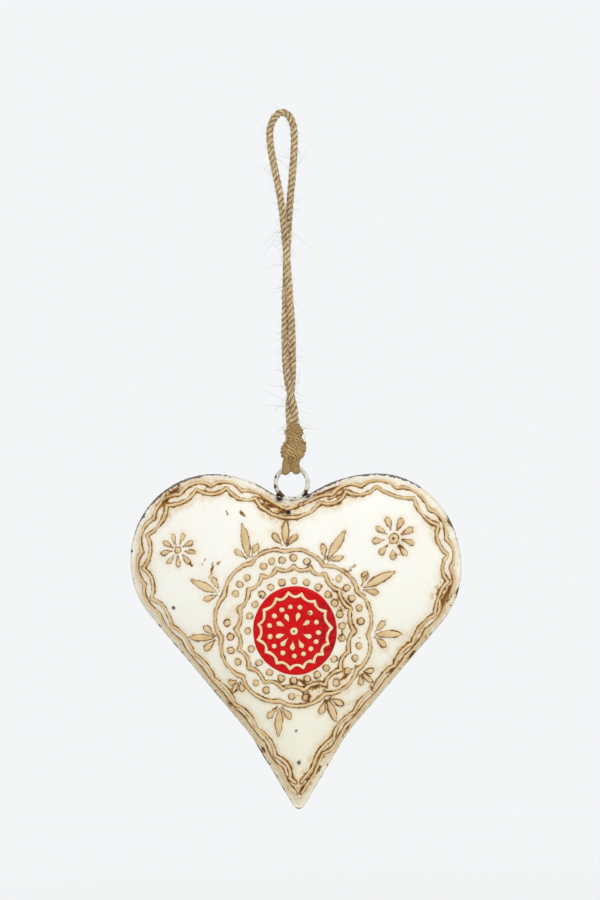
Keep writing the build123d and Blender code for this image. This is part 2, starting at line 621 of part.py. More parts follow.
def heart_nodes():
    """Every piece of the heart, drawn lying on its back."""
    front, back = tin_halves()
    inner = inner_cusps()
    outer = [(start + end) / 2 for start, end in zip(inner, inner[1:])]
    on_enamel = PAINT_GAP + ENAMEL + PAINT_GAP
    inner_dot_orbit = INNER_DOT_CLEARANCE + DOT_RADIUS
    left_flower = clear_of_border(LEFT_FLOWER_CENTRE, LEFT_FLOWER_REACH[1])
    right_flower = clear_of_border(RIGHT_FLOWER_CENTRE, RIGHT_FLOWER_REACH[1])
    nodes = {
        "front_shell": front,
        "back_shell": back,
        "solder_seam": solder_seam(),
        "hanging_ring": hanging_ring(RING_WIRE),
        "ring_solder_left": ring_solder(LEFT_WALK),
        "ring_solder_right": ring_solder(RIGHT_WALK),
        "red_enamel_disc": enamel_disc(),
        "outer_border_bead": border_bead(
            outer, OUTER_CUSP_INSET, OUTER_BULGE_INSET, OUTER_SQUEEZE, OUTER_TIP_RISE, OUTER_TIP_BULGE),
        "inner_border_bead": border_bead(
            inner, INNER_CUSP_INSET, INNER_BULGE_INSET, INNER_SQUEEZE, INNER_TIP_RISE, INNER_TIP_BULGE),
        "medallion_outer_ring": scalloped_ring(OUTER_RING, OUTER_RING_BULGE, PAINT_GAP),
        "medallion_inner_ring": scalloped_ring(INNER_RING, INNER_RING_BULGE, PAINT_GAP),
        "centre_ring": scalloped_ring(CENTRE_RING, CENTRE_RING_BULGE, on_enamel),
        "outer_dots": Compound([
            dab(bearing_point(MEDALLION_CENTRE, angle, (
                ring_radius(OUTER_RING, OUTER_RING_BULGE, angle)
                + ring_radius(INNER_RING, INNER_RING_BULGE, angle)) / 2), DOT_RADIUS, PAINT_GAP)
            for angle in OUTER_DOTS]),
        "inner_dots": Compound([
            dab(ENAMEL_CENTRE + Vector(
                math.sin(math.radians(angle)) * (ENAMEL_HALF_WIDTH + inner_dot_orbit),
                math.cos(math.radians(angle)) * (ENAMEL_HALF_HEIGHT + inner_dot_orbit)),
                DOT_RADIUS, PAINT_GAP)
            for angle in INNER_DOTS]),
        "centre_dots": Compound([
            dab(bearing_point(MEDALLION_CENTRE, angle, CENTRE_DOT_ORBIT), CENTRE_DOT_RADIUS, on_enamel)
            for angle in CENTRE_DOTS]),
        "centre_petals": petals(
            MEDALLION_CENTRE, CENTRE_PETALS, CENTRE_PETAL_REACH, CENTRE_PETAL_HALF_WIDTH, on_enamel),
        "centre_boss": dab(MEDALLION_CENTRE, CENTRE_BOSS_RADIUS, on_enamel),
        "left_flower_petals": petals(
            left_flower, flower_angles(LEFT_FLOWER_TURN), LEFT_FLOWER_REACH, LEFT_FLOWER_HALF_WIDTH,
            PAINT_GAP),
        "left_flower_boss": dab(left_flower, LEFT_FLOWER_BOSS_RADIUS, PAINT_GAP),
        "right_flower_petals": petals(
            right_flower, flower_angles(RIGHT_FLOWER_TURN), RIGHT_FLOWER_REACH, RIGHT_FLOWER_HALF_WIDTH,
            PAINT_GAP),
        "right_flower_boss": dab(right_flower, RIGHT_FLOWER_BOSS_RADIUS, PAINT_GAP),
    }
    for i, cusp in enumerate(OUTER_RING):
        nodes[f"leaf_sprig_{i + 1:02d}"] = sprig(cusp)
    return nodes


def twine_nodes():
    """Every piece of the hanging twine, in place."""
    return {
        "twine_loop": twine("twine_loop", LOOP_ROUTE),
        "twine_leg_left": twine_leg("twine_leg_left", LEFT_LEG_ROUTE),
        "twine_leg_right": twine_leg("twine_leg_right", RIGHT_LEG_ROUTE),
        "small_knot": knot(
            MAIN_KNOT_TOP_Z, SMALL_KNOT_HEIGHT, MAIN_KNOT_TOP_RADIUS, SMALL_KNOT_RADIUS,
            SMALL_KNOT_TOP_RADIUS),
        "main_knot": knot(
            MAIN_KNOT_FOOT_Z, MAIN_KNOT_HEIGHT, MAIN_KNOT_FOOT_RADIUS, MAIN_KNOT_RADIUS,
            MAIN_KNOT_TOP_RADIUS),
        "hitch_left": hitch(-1),
        "hitch_right": hitch(1),
    }


os.makedirs("parts", exist_ok=True)
for name, shape in heart_nodes().items():
    export_step(HANG * shape, f"parts/{name}.step")
for name, shape in twine_nodes().items():
    export_step(shape, f"parts/{name}.step")
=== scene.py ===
import math
import random
import bmesh
import bpy
from mathutils import Color, Matrix, Vector, noise
from mathutils.bvhtree import BVHTree
from mathutils.kdtree import KDTree


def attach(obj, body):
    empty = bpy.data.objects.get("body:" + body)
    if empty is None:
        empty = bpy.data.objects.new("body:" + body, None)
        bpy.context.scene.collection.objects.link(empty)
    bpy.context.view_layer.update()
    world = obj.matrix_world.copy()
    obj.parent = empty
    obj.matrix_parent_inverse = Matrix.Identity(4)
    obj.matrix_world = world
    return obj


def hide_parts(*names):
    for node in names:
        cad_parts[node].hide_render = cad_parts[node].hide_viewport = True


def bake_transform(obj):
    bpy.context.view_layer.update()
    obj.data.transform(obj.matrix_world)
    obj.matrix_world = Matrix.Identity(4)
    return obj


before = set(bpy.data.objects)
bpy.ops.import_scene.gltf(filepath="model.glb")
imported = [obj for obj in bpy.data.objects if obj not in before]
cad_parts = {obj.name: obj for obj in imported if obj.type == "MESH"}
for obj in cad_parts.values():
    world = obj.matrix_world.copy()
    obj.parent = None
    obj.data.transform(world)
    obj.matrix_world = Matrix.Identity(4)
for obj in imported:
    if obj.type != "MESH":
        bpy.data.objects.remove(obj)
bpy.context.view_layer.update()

# Tin halves: two heart-shaped shells of thin tinplate, each pressed into a dome with a flat lip and
# set lip to lip. Both are sprayed cream. The front is then washed with brown glaze and wiped, so that
# the glaze stays beside the piped paste, in the notch and in a few stains.
MM = 0.001
CROWN = Vector((0, 0, -241.7)) * MM
CROWN_ROUND = 66 * MM
CROWN_FLAT = 0.1
LIP_HEIGHT = 0.5 * MM
LIP_FOOT = 1.04 * LIP_HEIGHT
LIP_STEPS = (0, 0.35, 0.7, 1)
CAST_FROM = 200 * MM
GAP_LIMIT = 20 * MM
SHARP = math.radians(55)
MOST_STAIN = 1.5
PIT_STRENGTH = 2.0
FRONT_GRID = (760, 122)
BACK_GRID = (480, 64)
# Stains on the front, in millimetres: across, up, half length, half width, lean and strength
STAINS = (
    (-39.5, -218.0, 5.0, 0.7, 74, 0.8), (-36.0, -214.5, 4.0, 0.8, 40, 0.8),
    (-43.0, -213.5, 2.5, 0.8, 55, 0.9), (-48.5, -215.5, 1.5, 0.8, -35, 1.2),
    (-31.5, -190.5, 2.0, 0.8, -55, 0.9), (-24.0, -191.0, 2.5, 1.0, -50, 0.9),
    (-13.0, -185.0, 6.5, 0.8, -24, 1.1), (-9.5, -188.0, 5.0, 0.7, -14, 1.1),
    (-4.0, -190.5, 3.0, 1.2, 20, 1.2), (4.5, -187.0, 4.5, 0.8, 30, 1.0),
    (-56.5, -179.5, 4.0, 1.5, 40, 1.2), (-62.0, -185.0, 3.5, 1.0, 55, 0.9),
    (16.0, -181.5, 6.0, 0.8, 22, 1.2), (22.0, -183.5, 5.0, 0.7, 24, 1.0),
    (75.0, -197.5, 2.5, 0.5, -60, 1.0), (72.5, -234.5, 4.0, 1.5, 62, 1.4),
    (75.0, -229.0, 3.0, 1.0, 70, 1.1), (28.0, -218.0, 3.0, 1.5, 35, 1.0),
    (13.0, -226.5, 1.5, 1.0, 50, 1.1), (52.0, -209.0, 2.0, 0.7, -25, 1.2),
    (49.0, -212.5, 2.0, 0.6, 10, 1.0), (34.0, -222.0, 2.0, 0.8, 30, 1.0),
    (3.0, -272.0, 2.0, 1.0, -40, 1.4), (-5.5, -274.0, 3.0, 1.0, -15, 0.9),
    (5.5, -280.0, 3.0, 1.0, 75, 1.1), (10.0, -274.0, 3.0, 1.0, 40, 1.0),
    (22.5, -270.5, 4.0, 0.7, 40, 1.0), (-32.0, -282.0, 2.5, 1.0, -48, 1.4),
    (-17.0, -304.5, 3.0, 0.8, -52, 1.2), (36.0, -276.0, 2.5, 1.0, -60, 1.3),
    (46.0, -268.0, 2.5, 0.8, 30, 1.3), (56.0, -261.0, 2.5, 0.8, 50, 1.3),
    (23.5, -296.5, 3.5, 0.8, 62, 1.2), (10.0, -315.0, 3.0, 1.0, 60, 1.0),
    (18.0, -223.0, 3.0, 0.6, -30, 0.8), (22.5, -238.0, 4.0, 0.6, 80, 0.7),
    (22.0, -250.0, 2.5, 0.7, 85, 0.9), (27.0, -266.0, 4.0, 0.6, 35, 0.7),
    (13.0, -276.0, 3.5, 0.6, 25, 0.8), (-1.0, -278.0, 4.0, 0.6, -10, 0.7),
    (16.0, -268.5, 2.5, 0.6, 40, 0.7), (30.0, -251.5, 1.5, 0.7, 0, 0.8))
# Rust pits on the front, then two dark spots of painted shade in the crevices beside the ring's foot, in
# millimetres: across, up and reach
PITS_AND_CREVICE_SHADE = (
    (-58.0, -235.5, 0.7), (-0.5, -295.5, 0.5), (0.5, -311.0, 0.8), (-2.0, -191.0, 1.1),
    # These two, beside the ring's foot, are painted shade in its crevices.
    (-6.0, -184.0, 1.6), (7.5, -183.0, 1.3))
# Places where the wash was wiped less, in millimetres: across, up, reach and strength
WASHED = (
    (-6, -186, 13, 1.0), (-60, -182, 13, 0.8), (-38, -178, 10, 0.5), (22, -182, 12, 0.7),
    (72, -232, 10, 0.9), (69, -200, 7, 0.6), (22, -233, 7, 0.7), (25, -246, 7, 0.5),
    (6, -275, 9, 0.7), (22, -269, 7, 0.5), (50, -266, 12, 0.8), (30, -287, 10, 0.7),
    (-38, -275, 10, 0.5), (0, -322, 14, 0.8), (-17, -304, 8, 0.6), (-41, -216, 6, 0.6),
    (-73, -215, 10, 0.4), (51, -207, 5, 0.5), (-30, -238, 4, 0.6), (62, -252, 8, 0.7),
    (16, -305, 9, 0.8), (-52, -260, 9, 0.4), (-28, -290, 9, 0.6))
# Stretches of the rim rubbed bare, in millimetres: across, up, reach and strength
RUBBED = (
    (-57, -181, 24, 1.0), (45, -174, 18, 0.9), (-14, -180, 9, 0.5), (17, -181, 8, 0.8),
    (76, -198, 5, 0.6), (75, -231, 6, 0.7), (-18, -306, 5, 0.5), (0, -333, 4, 0.4))


def surface_of(*names):
    """A search tree over the surfaces of some CAD nodes."""
    joined = bmesh.new()
    for name in names:
        joined.from_mesh(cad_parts[name].data)
    tree = BVHTree.FromBMesh(joined)
    joined.free()
    return tree


def next_ring(bm, edges, column):
    """Grows the next ring of a shell and gives its points by column, with its edges."""
    grown = bmesh.ops.extrude_edge_only(bm, edges=edges)["geom"]
    points = {part[column]: part for part in grown if isinstance(part, bmesh.types.BMVert)}
    fresh = set(points.values())
    return points, [part for part in grown if isinstance(part, bmesh.types.BMEdge)
                    and part.verts[0] in fresh and part.verts[1] in fresh]


def upright_circle(centre, segments, radius):
    """A circle that faces the viewer, with its points numbered round it."""
    bm = bmesh.new()
    upright = Matrix.Translation(centre) @ Matrix.Rotation(math.pi / 2, 4, "X")
    bmesh.ops.create_circle(bm, segments=segments, radius=radius, matrix=upright)
    column = bm.verts.layers.int.new("column")
    for i, point in enumerate(bm.verts):
        point[column] = i
    return bm, column


def smooth_mesh(bm, name):
    """A finished shape as a smooth-shaded mesh."""
    bmesh.ops.recalc_face_normals(bm, faces=bm.faces)
    mesh = bpy.data.meshes.new(name)
    bm.to_mesh(mesh)
    bm.free()
    mesh.shade_smooth()
    return mesh


def tin_half(name, node, side, columns, levels):
    """A shell in rings from its rim over the lip to the crown, cast onto the CAD surface."""
    tin = surface_of(node)
    bm, column = upright_circle(CROWN, columns, CAST_FROM)
    rim, foot, inward = [], [], []
    for i, point in enumerate(bm.verts):
        inward.append((CROWN - point.co).normalized())
        for height, found in ((LIP_HEIGHT / 2, rim), (LIP_FOOT, foot)):
            start = point.co + Vector((0, side * height, 0))
            found.append((tin.ray_cast(start, inward[i])[0] - start).length)
        point.co += inward[i] * rim[i]
    edges = bm.edges[:]
    for share in LIP_STEPS:
        points, edges = next_ring(bm, edges, column)
        for i, point in points.items():
            along = rim[i] + (foot[i] - rim[i]) * share
            point.co = CROWN - inward[i] * (CAST_FROM - along) + Vector((0, side * LIP_HEIGHT, 0))
    for level in range(1, levels + 1):
        points, edges = next_ring(bm, edges, column)
        share = math.cos(math.acos(CROWN_FLAT) * level / levels)
        for i, point in points.items():
            reach = share**3 * (CAST_FROM - foot[i]) + (share - share**3) * CROWN_ROUND
            over = CROWN - inward[i] * reach + Vector((0, side * CAST_FROM, 0))
            point.co = tin.ray_cast(over, Vector((0, -side, 0)))[0]
    bmesh.ops.contextual_create(bm, geom=edges)
    mesh = smooth_mesh(bm, name)
    mesh.set_sharp_from_angle(angle=SHARP)
    return mesh


def measure(mesh, name, values):
    """Keeps one number for each point of a mesh, for its material to read."""
    mesh.attributes.new(name, "FLOAT", "POINT").data.foreach_set("value", values)


def spots_at(place, spots):
    """How strongly some round spots, given in millimetres, mark a place."""
    x, z = place.x / MM, place.z / MM
    return sum(strength * math.exp(-((x - across)**2 + (z - up)**2) / reach**2)
               for across, up, reach, strength in spots if abs(x - across) < 3 * reach)


def stain_at(place):
    """How strongly the long stains mark a place."""
    total = 0
    x, z = place.x / MM, place.z / MM
    for across, up, half_length, half_width, lean, strength in STAINS:
        if max(abs(x - across), abs(z - up)) < 3 * half_length:
            offset = Matrix.Rotation(math.radians(-lean), 2) @ Vector((x - across, z - up))
            total += strength * math.exp(-(offset.x / half_length)**2 - (offset.y / half_width)**2)
    return min(total, MOST_STAIN)


def add(tree, kind, inputs=None, **settings):
    """A shader node with its settings, and with its inputs set or linked."""
    made = tree.nodes.new(kind)
    for key, value in settings.items():
        setattr(made, key, value)
    for key, value in (inputs or {}).items():
        if isinstance(value, bpy.types.NodeSocket):
            tree.links.new(value, made.inputs[key])
        else:
            made.inputs[key].default_value = value
    return made


def colour(red, green, blue):
    """A paint-chart colour, from 0 to 255, as the renderer wants it."""
    return (*Color((red / 255, green / 255, blue / 255)).from_srgb_to_scene_linear(), 1)


def blended(tree, share, first, second):
    """One colour laid over another by a share."""
    return add(tree, "ShaderNodeMix", {0: share, 6: first, 7: second}, data_type="RGBA").outputs[2]


def ramp(tree, value, low, high, at_low, at_high, shape="SMOOTHSTEP"):
    """A step between two values, smooth or straight."""
    return add(tree, "ShaderNodeMapRange", {
        "Value": value, "From Min": low, "From Max": high, "To Min": at_low, "To Max": at_high},
        interpolation_type=shape).outputs[0]


def sums(tree, operation, first, second):
    """Two values put together by one sum."""
    return add(tree, "ShaderNodeMath", {0: first, 1: second}, operation=operation).outputs[0]


def times(tree, first, second):
    return sums(tree, "MULTIPLY", first, second)


def speckle(tree, coords, scale, detail, roughness):
    """A cloudy pattern from 0 to 1."""
    return add(tree, "ShaderNodeTexNoise", {
        "Vector": coords, "Scale": scale, "Detail": detail, "Roughness": roughness}).outputs["Fac"]


def kept(tree, name):
    """A number that the mesh keeps for each point."""
    return add(tree, "ShaderNodeAttribute", attribute_name=name).outputs["Fac"]


def finish(name, roughness):
    """A new material: its tree, its shader and the piece's own coordinates."""
    material = bpy.data.materials.new(name)
    material.use_nodes = True
    tree = material.node_tree
    shader = tree.nodes["Principled BSDF"]
    shader.inputs["Roughness"].default_value = roughness
    return material, tree, shader, add(tree, "ShaderNodeTexCoord").outputs["Object"]


def raised(tree, shader, height, distance):
    """Fine relief on a finish."""
    bump = add(tree, "ShaderNodeBump", {"Height": height, "Distance": distance, "Strength": 1.0})
    tree.links.new(bump.outputs[0], shader.inputs["Normal"])


def effect(name, inputs, outputs):
    """An empty node group: its tree and the sockets that come in and go out."""
    group = bpy.data.node_groups.new(name, "ShaderNodeTree")
    for socket in inputs:
        kind = "NodeSocketVector" if socket == "Vector" else "NodeSocketFloat"
        group.interface.new_socket(socket, in_out="INPUT", socket_type=kind)
    for socket in outputs:
        group.interface.new_socket(socket, in_out="OUTPUT", socket_type="NodeSocketFloat")
    return group, group.nodes.new("NodeGroupInput").outputs, group.nodes.new("NodeGroupOutput").inputs


mottle, given, out = effect("hand_mottle", ("Vector", "Patches", "Grain"), ("Patch", "Fleck", "Height"))
cloud = speckle(mottle, given["Vector"], given["Patches"], 5.0, 0.6)
mottle.links.new(ramp(mottle, cloud, 0.38, 0.66, 0.0, 1.0), out["Patch"])
mottle.links.new(speckle(mottle, given["Vector"], given["Grain"], 3.0, 0.55), out["Height"])
dots = speckle(mottle, given["Vector"], 900.0, 1.0, 0.4)
least = ramp(mottle, cloud, 0.45, 0.7, 0.77, 0.68)
mottle.links.new(ramp(mottle, dots, least, 0.8, 0.0, 1.0, "LINEAR"), out["Fleck"])

glaze, given, out = effect("brown_glaze", ("Vector", "Gap", "Width"), ("Line", "Halo"))
uneven = speckle(glaze, given["Vector"], 190.0, 4.0, 0.65)
reach = times(glaze, ramp(glaze, uneven, 0.3, 0.7, 0.3, 1.5), given["Width"])
glaze.links.new(ramp(glaze, given["Gap"], times(glaze, reach, 0.4), reach, 1.0, 0.0), out["Line"])
near = ramp(glaze, given["Gap"], 0.0, times(glaze, given["Width"], 5.0), 1.0, 0.0, "LINEAR")
patchy = ramp(glaze, uneven, 0.36, 0.66, 0.25, 1.0)
glaze.links.new(times(glaze, times(glaze, near, near), patchy), out["Halo"])

scratches, given, out = effect("stain_scratches", ("Vector", "Mark"), ("Grain", "Scratch"))
grain = speckle(scratches, given["Vector"], 420.0, 6.0, 0.7)
scratches.links.new(grain, out["Grain"])
broken = ramp(scratches, grain, 0.34, 0.68, -0.95, -0.1)
scratches.links.new(sums(scratches, "ADD", given["Mark"], broken), out["Scratch"])

chips, given, out = effect("paint_chips", ("Vector", "Size", "Share"), ("Chip",))
flake = speckle(chips, given["Vector"], given["Size"], 4.0, 0.7)
least = sums(chips, "SUBTRACT", 0.75, times(chips, given["Share"], 0.5))
most = sums(chips, "ADD", least, 0.03)
chips.links.new(ramp(chips, flake, least, most, 0.0, 1.0, "LINEAR"), out["Chip"])


def placed(tree, group, inputs):
    """A shared effect set into a material."""
    return add(tree, "ShaderNodeGroup", inputs, node_tree=group).outputs


def glazed_over(tree, coords, marks, shade):
    """The front's brown: a tint and a line beside the paste, scratchy stains, rust pits and painted
    shade in the crevices beside the ring's foot.
    """
    edge_wash = ramp(tree, kept(tree, "rim_gap"), 4.0, 9.0, 0.22, 0.0)
    washed = sums(tree, "MAXIMUM", kept(tree, "washed"), edge_wash)
    paste_gap = kept(tree, "paste_gap")
    lines = placed(tree, glaze, {
        "Vector": coords, "Gap": paste_gap, "Width": ramp(tree, washed, 0.0, 1.0, 0.72, 1.5)})
    tint = times(tree, lines["Halo"], ramp(tree, washed, 0.0, 0.8, 0.6, 1.0))
    shade = blended(tree, tint, shade, colour(224, 184, 114))
    washed = times(tree, washed, ramp(tree, paste_gap, 1.5, 6.0, 1.0, 0.25))
    marked = sums(tree, "ADD", kept(tree, "stain"), times(tree, washed, 0.55))
    rubbed_in = placed(tree, scratches, {"Vector": coords, "Mark": marked})
    cloudy = times(tree, washed, ramp(tree, rubbed_in["Grain"], 0.42, 0.62, 0.15, 0.8))
    shade = blended(tree, cloudy, shade, colour(214, 180, 106))
    scratch = rubbed_in["Scratch"]
    shade = blended(tree, ramp(tree, scratch, 0.0, 0.3, 0.0, 0.9), shade, colour(180, 130, 56))
    shade = blended(tree, ramp(tree, scratch, 0.3, 0.65, 0.0, 0.95), shade, colour(100, 58, 14))
    uneven = ramp(tree, marks["Height"], 0.35, 0.62, 0.55, 1.0)
    strength = sums(tree, "ADD", times(tree, washed, 0.4), uneven)
    line = add(tree, "ShaderNodeClamp", {0: times(tree, lines["Line"], strength)}).outputs[0]
    pooled = ramp(tree, marks["Height"], 0.46, 0.62, 0.0, 1.0)
    brown = blended(tree, pooled, colour(154, 104, 38), colour(96, 58, 16))
    shade = blended(tree, line, shade, brown)
    # Near black at rust pits, and painted shade in the crevices beside the ring's foot.
    return blended(tree, kept(tree, "pit_and_crevice_shade"), shade, colour(26, 13, 5))


def cream_paint(name, glazed):
    """Sprayed cream, darker and yellower low down as painted shade, flecked and a little worn at the
    rim.
    """
    material, tree, shader, coords = finish(name, 0.4)
    shader.inputs["Specular IOR Level"].default_value = 0.22
    marks = placed(tree, mottle, {"Vector": coords, "Patches": 38.0, "Grain": 420.0})
    up = add(tree, "ShaderNodeSeparateXYZ", {0: coords}).outputs["Z"]
    shade = blended(tree, marks["Patch"], colour(254, 253, 245), colour(252, 250, 239))
    # Painted shade: the cream turns darker and yellower towards the bottom, as if lit from above.
    shade = blended(tree, ramp(tree, up, -0.32, -0.18, 0.85, 0.0), shade, colour(247, 243, 220))
    rim_gap = kept(tree, "rim_gap")
    uneven = ramp(tree, marks["Height"], 0.38, 0.62, 0.1, 1.0)
    rim_tint = times(tree, ramp(tree, rim_gap, 1.0, 7.0, 0.22, 0.0), uneven)
    shade = blended(tree, rim_tint, shade, colour(238, 222, 190))
    if glazed:
        shade = glazed_over(tree, coords, marks, shade)
    flecks = times(tree, marks["Fleck"], 0.3 if glazed else 0.4)
    shade = blended(tree, flecks, shade, colour(160, 118, 66))
    wear = ramp(tree, kept(tree, "rubbed"), 0.0, 1.0, 0.34, 0.72)
    at_rim = times(tree, ramp(tree, rim_gap, 0.1, 1.6, 1.0, 0.0), wear)
    worn = placed(tree, chips, {"Vector": coords, "Size": 300.0, "Share": at_rim})["Chip"]
    shade = blended(tree, times(tree, worn, 0.85), shade, colour(84, 52, 26))
    tree.links.new(shade, shader.inputs["Base Color"])
    tree.links.new(ramp(tree, marks["Patch"], 0.0, 1.0, 0.36, 0.48), shader.inputs["Roughness"])
    raised(tree, shader, marks["Height"], 0.04 * MM)
    return material


def place(name, mesh, material, slot, *nodes):
    """Puts a finished mesh into the scene in place of its CAD nodes."""
    piece = bpy.data.objects.new(name, mesh)
    bpy.context.scene.collection.objects.link(piece)
    mesh.materials.clear()
    mesh.materials.append(material)
    if nodes:
        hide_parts(*nodes)
    return piece


rim_line = surface_of("solder_seam", "hanging_ring")
front_mesh = tin_half("tin_front", "front_shell", -1, *FRONT_GRID)
back_mesh = tin_half("tin_back", "back_shell", 1, *BACK_GRID)
for half in (front_mesh, back_mesh):
    level = [Vector((p.co.x, 0, p.co.z)) for p in half.vertices]
    measure(half, "rim_gap", [(rim_line.find_nearest(p, GAP_LIMIT)[3] or GAP_LIMIT) / MM for p in level])
    measure(half, "rubbed", [min(1, spots_at(p, RUBBED)) for p in level])
measure(front_mesh, "stain", [stain_at(p.co) for p in front_mesh.vertices])
measure(front_mesh, "washed", [min(1, spots_at(p.co, WASHED)) for p in front_mesh.vertices])
pits_and_crevice_shade = [(*pit_and_crevice_shade, PIT_STRENGTH) for pit_and_crevice_shade in PITS_AND_CREVICE_SHADE]
measure(front_mesh, "pit_and_crevice_shade", [min(1, spots_at(p.co, pits_and_crevice_shade)) for p in front_mesh.vertices])
front = place("tin_front", front_mesh, cream_paint("glazed_cream", True), "cream_paint", "front_shell")
back = place("tin_back", back_mesh, cream_paint("plain_cream", False), "cream_paint", "back_shell")
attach(front, "heart")
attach(back, "heart")

# Solder seam: a thread of solder run round the joint of the two lips and painted over with the tin.
# The paint has rubbed off the tops of the lobes, where the seam shows dark.
SEAM_SECTION = ((0.05, -0.7), (0.32, -0.48), (0.42, 0), (0.32, 0.48), (0.05, 0.7))
RING_CENTRE = Vector((0, 0, -177.1)) * MM
RING_SEAT = 8.8 * MM
SEAM_POINTS = 900
SEAM_UNEVEN = 0.25
bm, column = upright_circle(CROWN, SEAM_POINTS, CAST_FROM)
lips = surface_of("front_shell", "back_shell")
rim = []
for point in bm.verts:
    inward = (CROWN - point.co).normalized()
    rim.append(lips.ray_cast(point.co + Vector((0, LIP_HEIGHT / 2, 0)), inward)[0] * Vector((1, 0, 1)))
outward = []
for i, on_rim in enumerate(rim):
    along = rim[(i + 1) % len(rim)] - rim[i - 1]
    across = Vector((along.z, 0, -along.x)).normalized()
    outward.append(across if across.dot(on_rim - CROWN) > 0 else -across)
edges = bm.edges[:]
points = {point[column]: point for point in bm.verts}
for step, (proud, depth) in enumerate(SEAM_SECTION):
    if step:
        points, edges = next_ring(bm, edges, column)
    for i, point in points.items():
        swell = MM * (1 + SEAM_UNEVEN * noise.noise(rim[i] * 400))
        point.co = rim[i] + outward[i] * proud * swell + Vector((0, depth * swell, 0))
seated = [point for point in bm.verts if (point.co - RING_CENTRE).length < RING_SEAT]
bmesh.ops.delete(bm, geom=seated, context="VERTS")
seam_mesh = smooth_mesh(bm, "solder_seam_thread")
measure(seam_mesh, "rubbed", [min(1, spots_at(p.co, RUBBED)) for p in seam_mesh.vertices])
material, tree, shader, coords = finish("worn_seam", 0.5)
marks = placed(tree, mottle, {"Vector": coords, "Patches": 90.0, "Grain": 600.0})
wear = ramp(tree, kept(tree, "rubbed"), 0.0, 0.8, 0.34, 0.95)
worn = placed(tree, chips, {"Vector": coords, "Size": 150.0, "Share": wear})["Chip"]
shade = blended(tree, marks["Patch"], colour(243, 236, 216), colour(228, 212, 178))
metal = blended(tree, marks["Height"], colour(38, 27, 22), colour(84, 58, 38))
shade = blended(tree, worn, shade, metal)
tree.links.new(shade, shader.inputs["Base Color"])
raised(tree, shader, marks["Height"], 0.1 * MM)
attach(place("solder_seam_thread", seam_mesh, material, "seam_paint", "solder_seam"), "heart")

# Hanging ring: a ring of steel wire that stands in the notch and is painted with the tin. The paint
# is greener and thinner than on the shells, and has chipped off its edges. Dark stretches low on the
# wire, round its foot, are partly bare metal and partly painted shade.
RING_RADIUS = 7.7 * MM
WIRE_RADIUS = 1.1 * MM
WIRE_POINTS = 24
RING_STEPS = 160
WIRE_UNEVEN = 0.07
# Dark stretches, partly bare metal and partly painted shade on the wire's lower edges, in millimetres:
# across, up, reach and strength
BARE_AND_SHADE = (
    (-4.5, -181.5, 1.6, 1.0), (-8.0, -179.0, 1.4, 0.6), (6.5, -181.5, 1.4, 0.7),
    (-8.0, -173.5, 0.8, 0.8), (-6.5, -183.5, 1.4, 1.0), (0.0, -184.5, 2.5, 0.4))
bm = bmesh.new()
section = Matrix.Translation(RING_CENTRE + Vector((RING_RADIUS, 0, 0)))
bmesh.ops.create_circle(bm, segments=WIRE_POINTS, radius=WIRE_RADIUS, matrix=section)
bmesh.ops.spin(bm, geom=bm.verts[:] + bm.edges[:], cent=RING_CENTRE, axis=(0, 1, 0), angle=math.tau,
               steps=RING_STEPS, use_merge=True)
for point in bm.verts:
    around = point.co - RING_CENTRE
    middle = Vector((around.x, 0, around.z)).normalized() * RING_RADIUS
    swell = 1 + WIRE_UNEVEN * noise.noise(point.co * 500)
    point.co = RING_CENTRE + middle + (around - middle) * swell
ring_mesh = smooth_mesh(bm, "wire_ring")
measure(ring_mesh, "bare_and_shade", [min(1, spots_at(p.co, BARE_AND_SHADE)) for p in ring_mesh.vertices])
material, tree, shader, coords = finish("chipped_ring_paint_and_shade", 0.4)
marks = placed(tree, mottle, {"Vector": coords, "Patches": 200.0, "Grain": 900.0})
wear = ramp(tree, kept(tree, "bare_and_shade"), 0.0, 1.0, 0.34, 0.85)
bare_and_shade = placed(tree, chips, {"Vector": coords, "Size": 420.0, "Share": wear})["Chip"]
shade = blended(tree, marks["Patch"], colour(234, 234, 220), colour(176, 174, 154))
metal = blended(tree, marks["Height"], colour(36, 25, 19), colour(112, 76, 44))
# Dark where bare: partly chips and partly painted shade low on the wire.
shade = blended(tree, bare_and_shade, shade, metal)
tree.links.new(shade, shader.inputs["Base Color"])
tree.links.new(ramp(tree, bare_and_shade, 0.0, 1.0, 0.36, 0.7), shader.inputs["Roughness"])
raised(tree, shader, marks["Height"], 0.08 * MM)
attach(place("wire_ring", ring_mesh, material, "ring_paint", "hanging_ring"), "heart")

# Ring solder: a lump of solder in the crease on each side of the ring, where the ring stands in the
# notch. The lumps are coloured near black: painted shade for the dark crevices beside the ring's foot.
LUMP_VOXEL = 0.22 * MM
SOFTENED = 3
MERGED = 0.001 * MM
CRUST = 0.25 * MM


def hand_worked(node, voxel, shift):
    """A copy of a CAD node, closed into an even skin, softened and made uneven like handwork."""
    bm = bmesh.new()
    bm.from_mesh(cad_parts[node].data)
    bmesh.ops.remove_doubles(bm, verts=bm.verts, dist=MERGED)
    mesh = bpy.data.meshes.new(node)
    bm.to_mesh(mesh)
    bm.free()
    holder = bpy.data.objects.new(node, mesh)
    bpy.context.scene.collection.objects.link(holder)
    skin = holder.modifiers.new("skin", "REMESH")
    skin.mode = "VOXEL"
    skin.voxel_size = voxel
    depsgraph = bpy.context.evaluated_depsgraph_get()
    ready = bpy.data.meshes.new_from_object(holder.evaluated_get(depsgraph))
    bpy.data.objects.remove(holder)
    bm = bmesh.new()
    bm.from_mesh(ready)
    for _ in range(SOFTENED):
        bmesh.ops.smooth_vert(
            bm, verts=bm.verts, factor=0.5, use_axis_x=True, use_axis_y=True, use_axis_z=True)
    bm.normal_update()
    for point in bm.verts:
        point.co += shift(point.co, point.normal)
    bm.to_mesh(ready)
    bm.free()
    ready.shade_smooth()
    return ready


def crusted(on_lump, normal):
    """The crust on a lump, thicker in places."""
    return normal * CRUST * (0.5 + noise.noise(on_lump * 900))


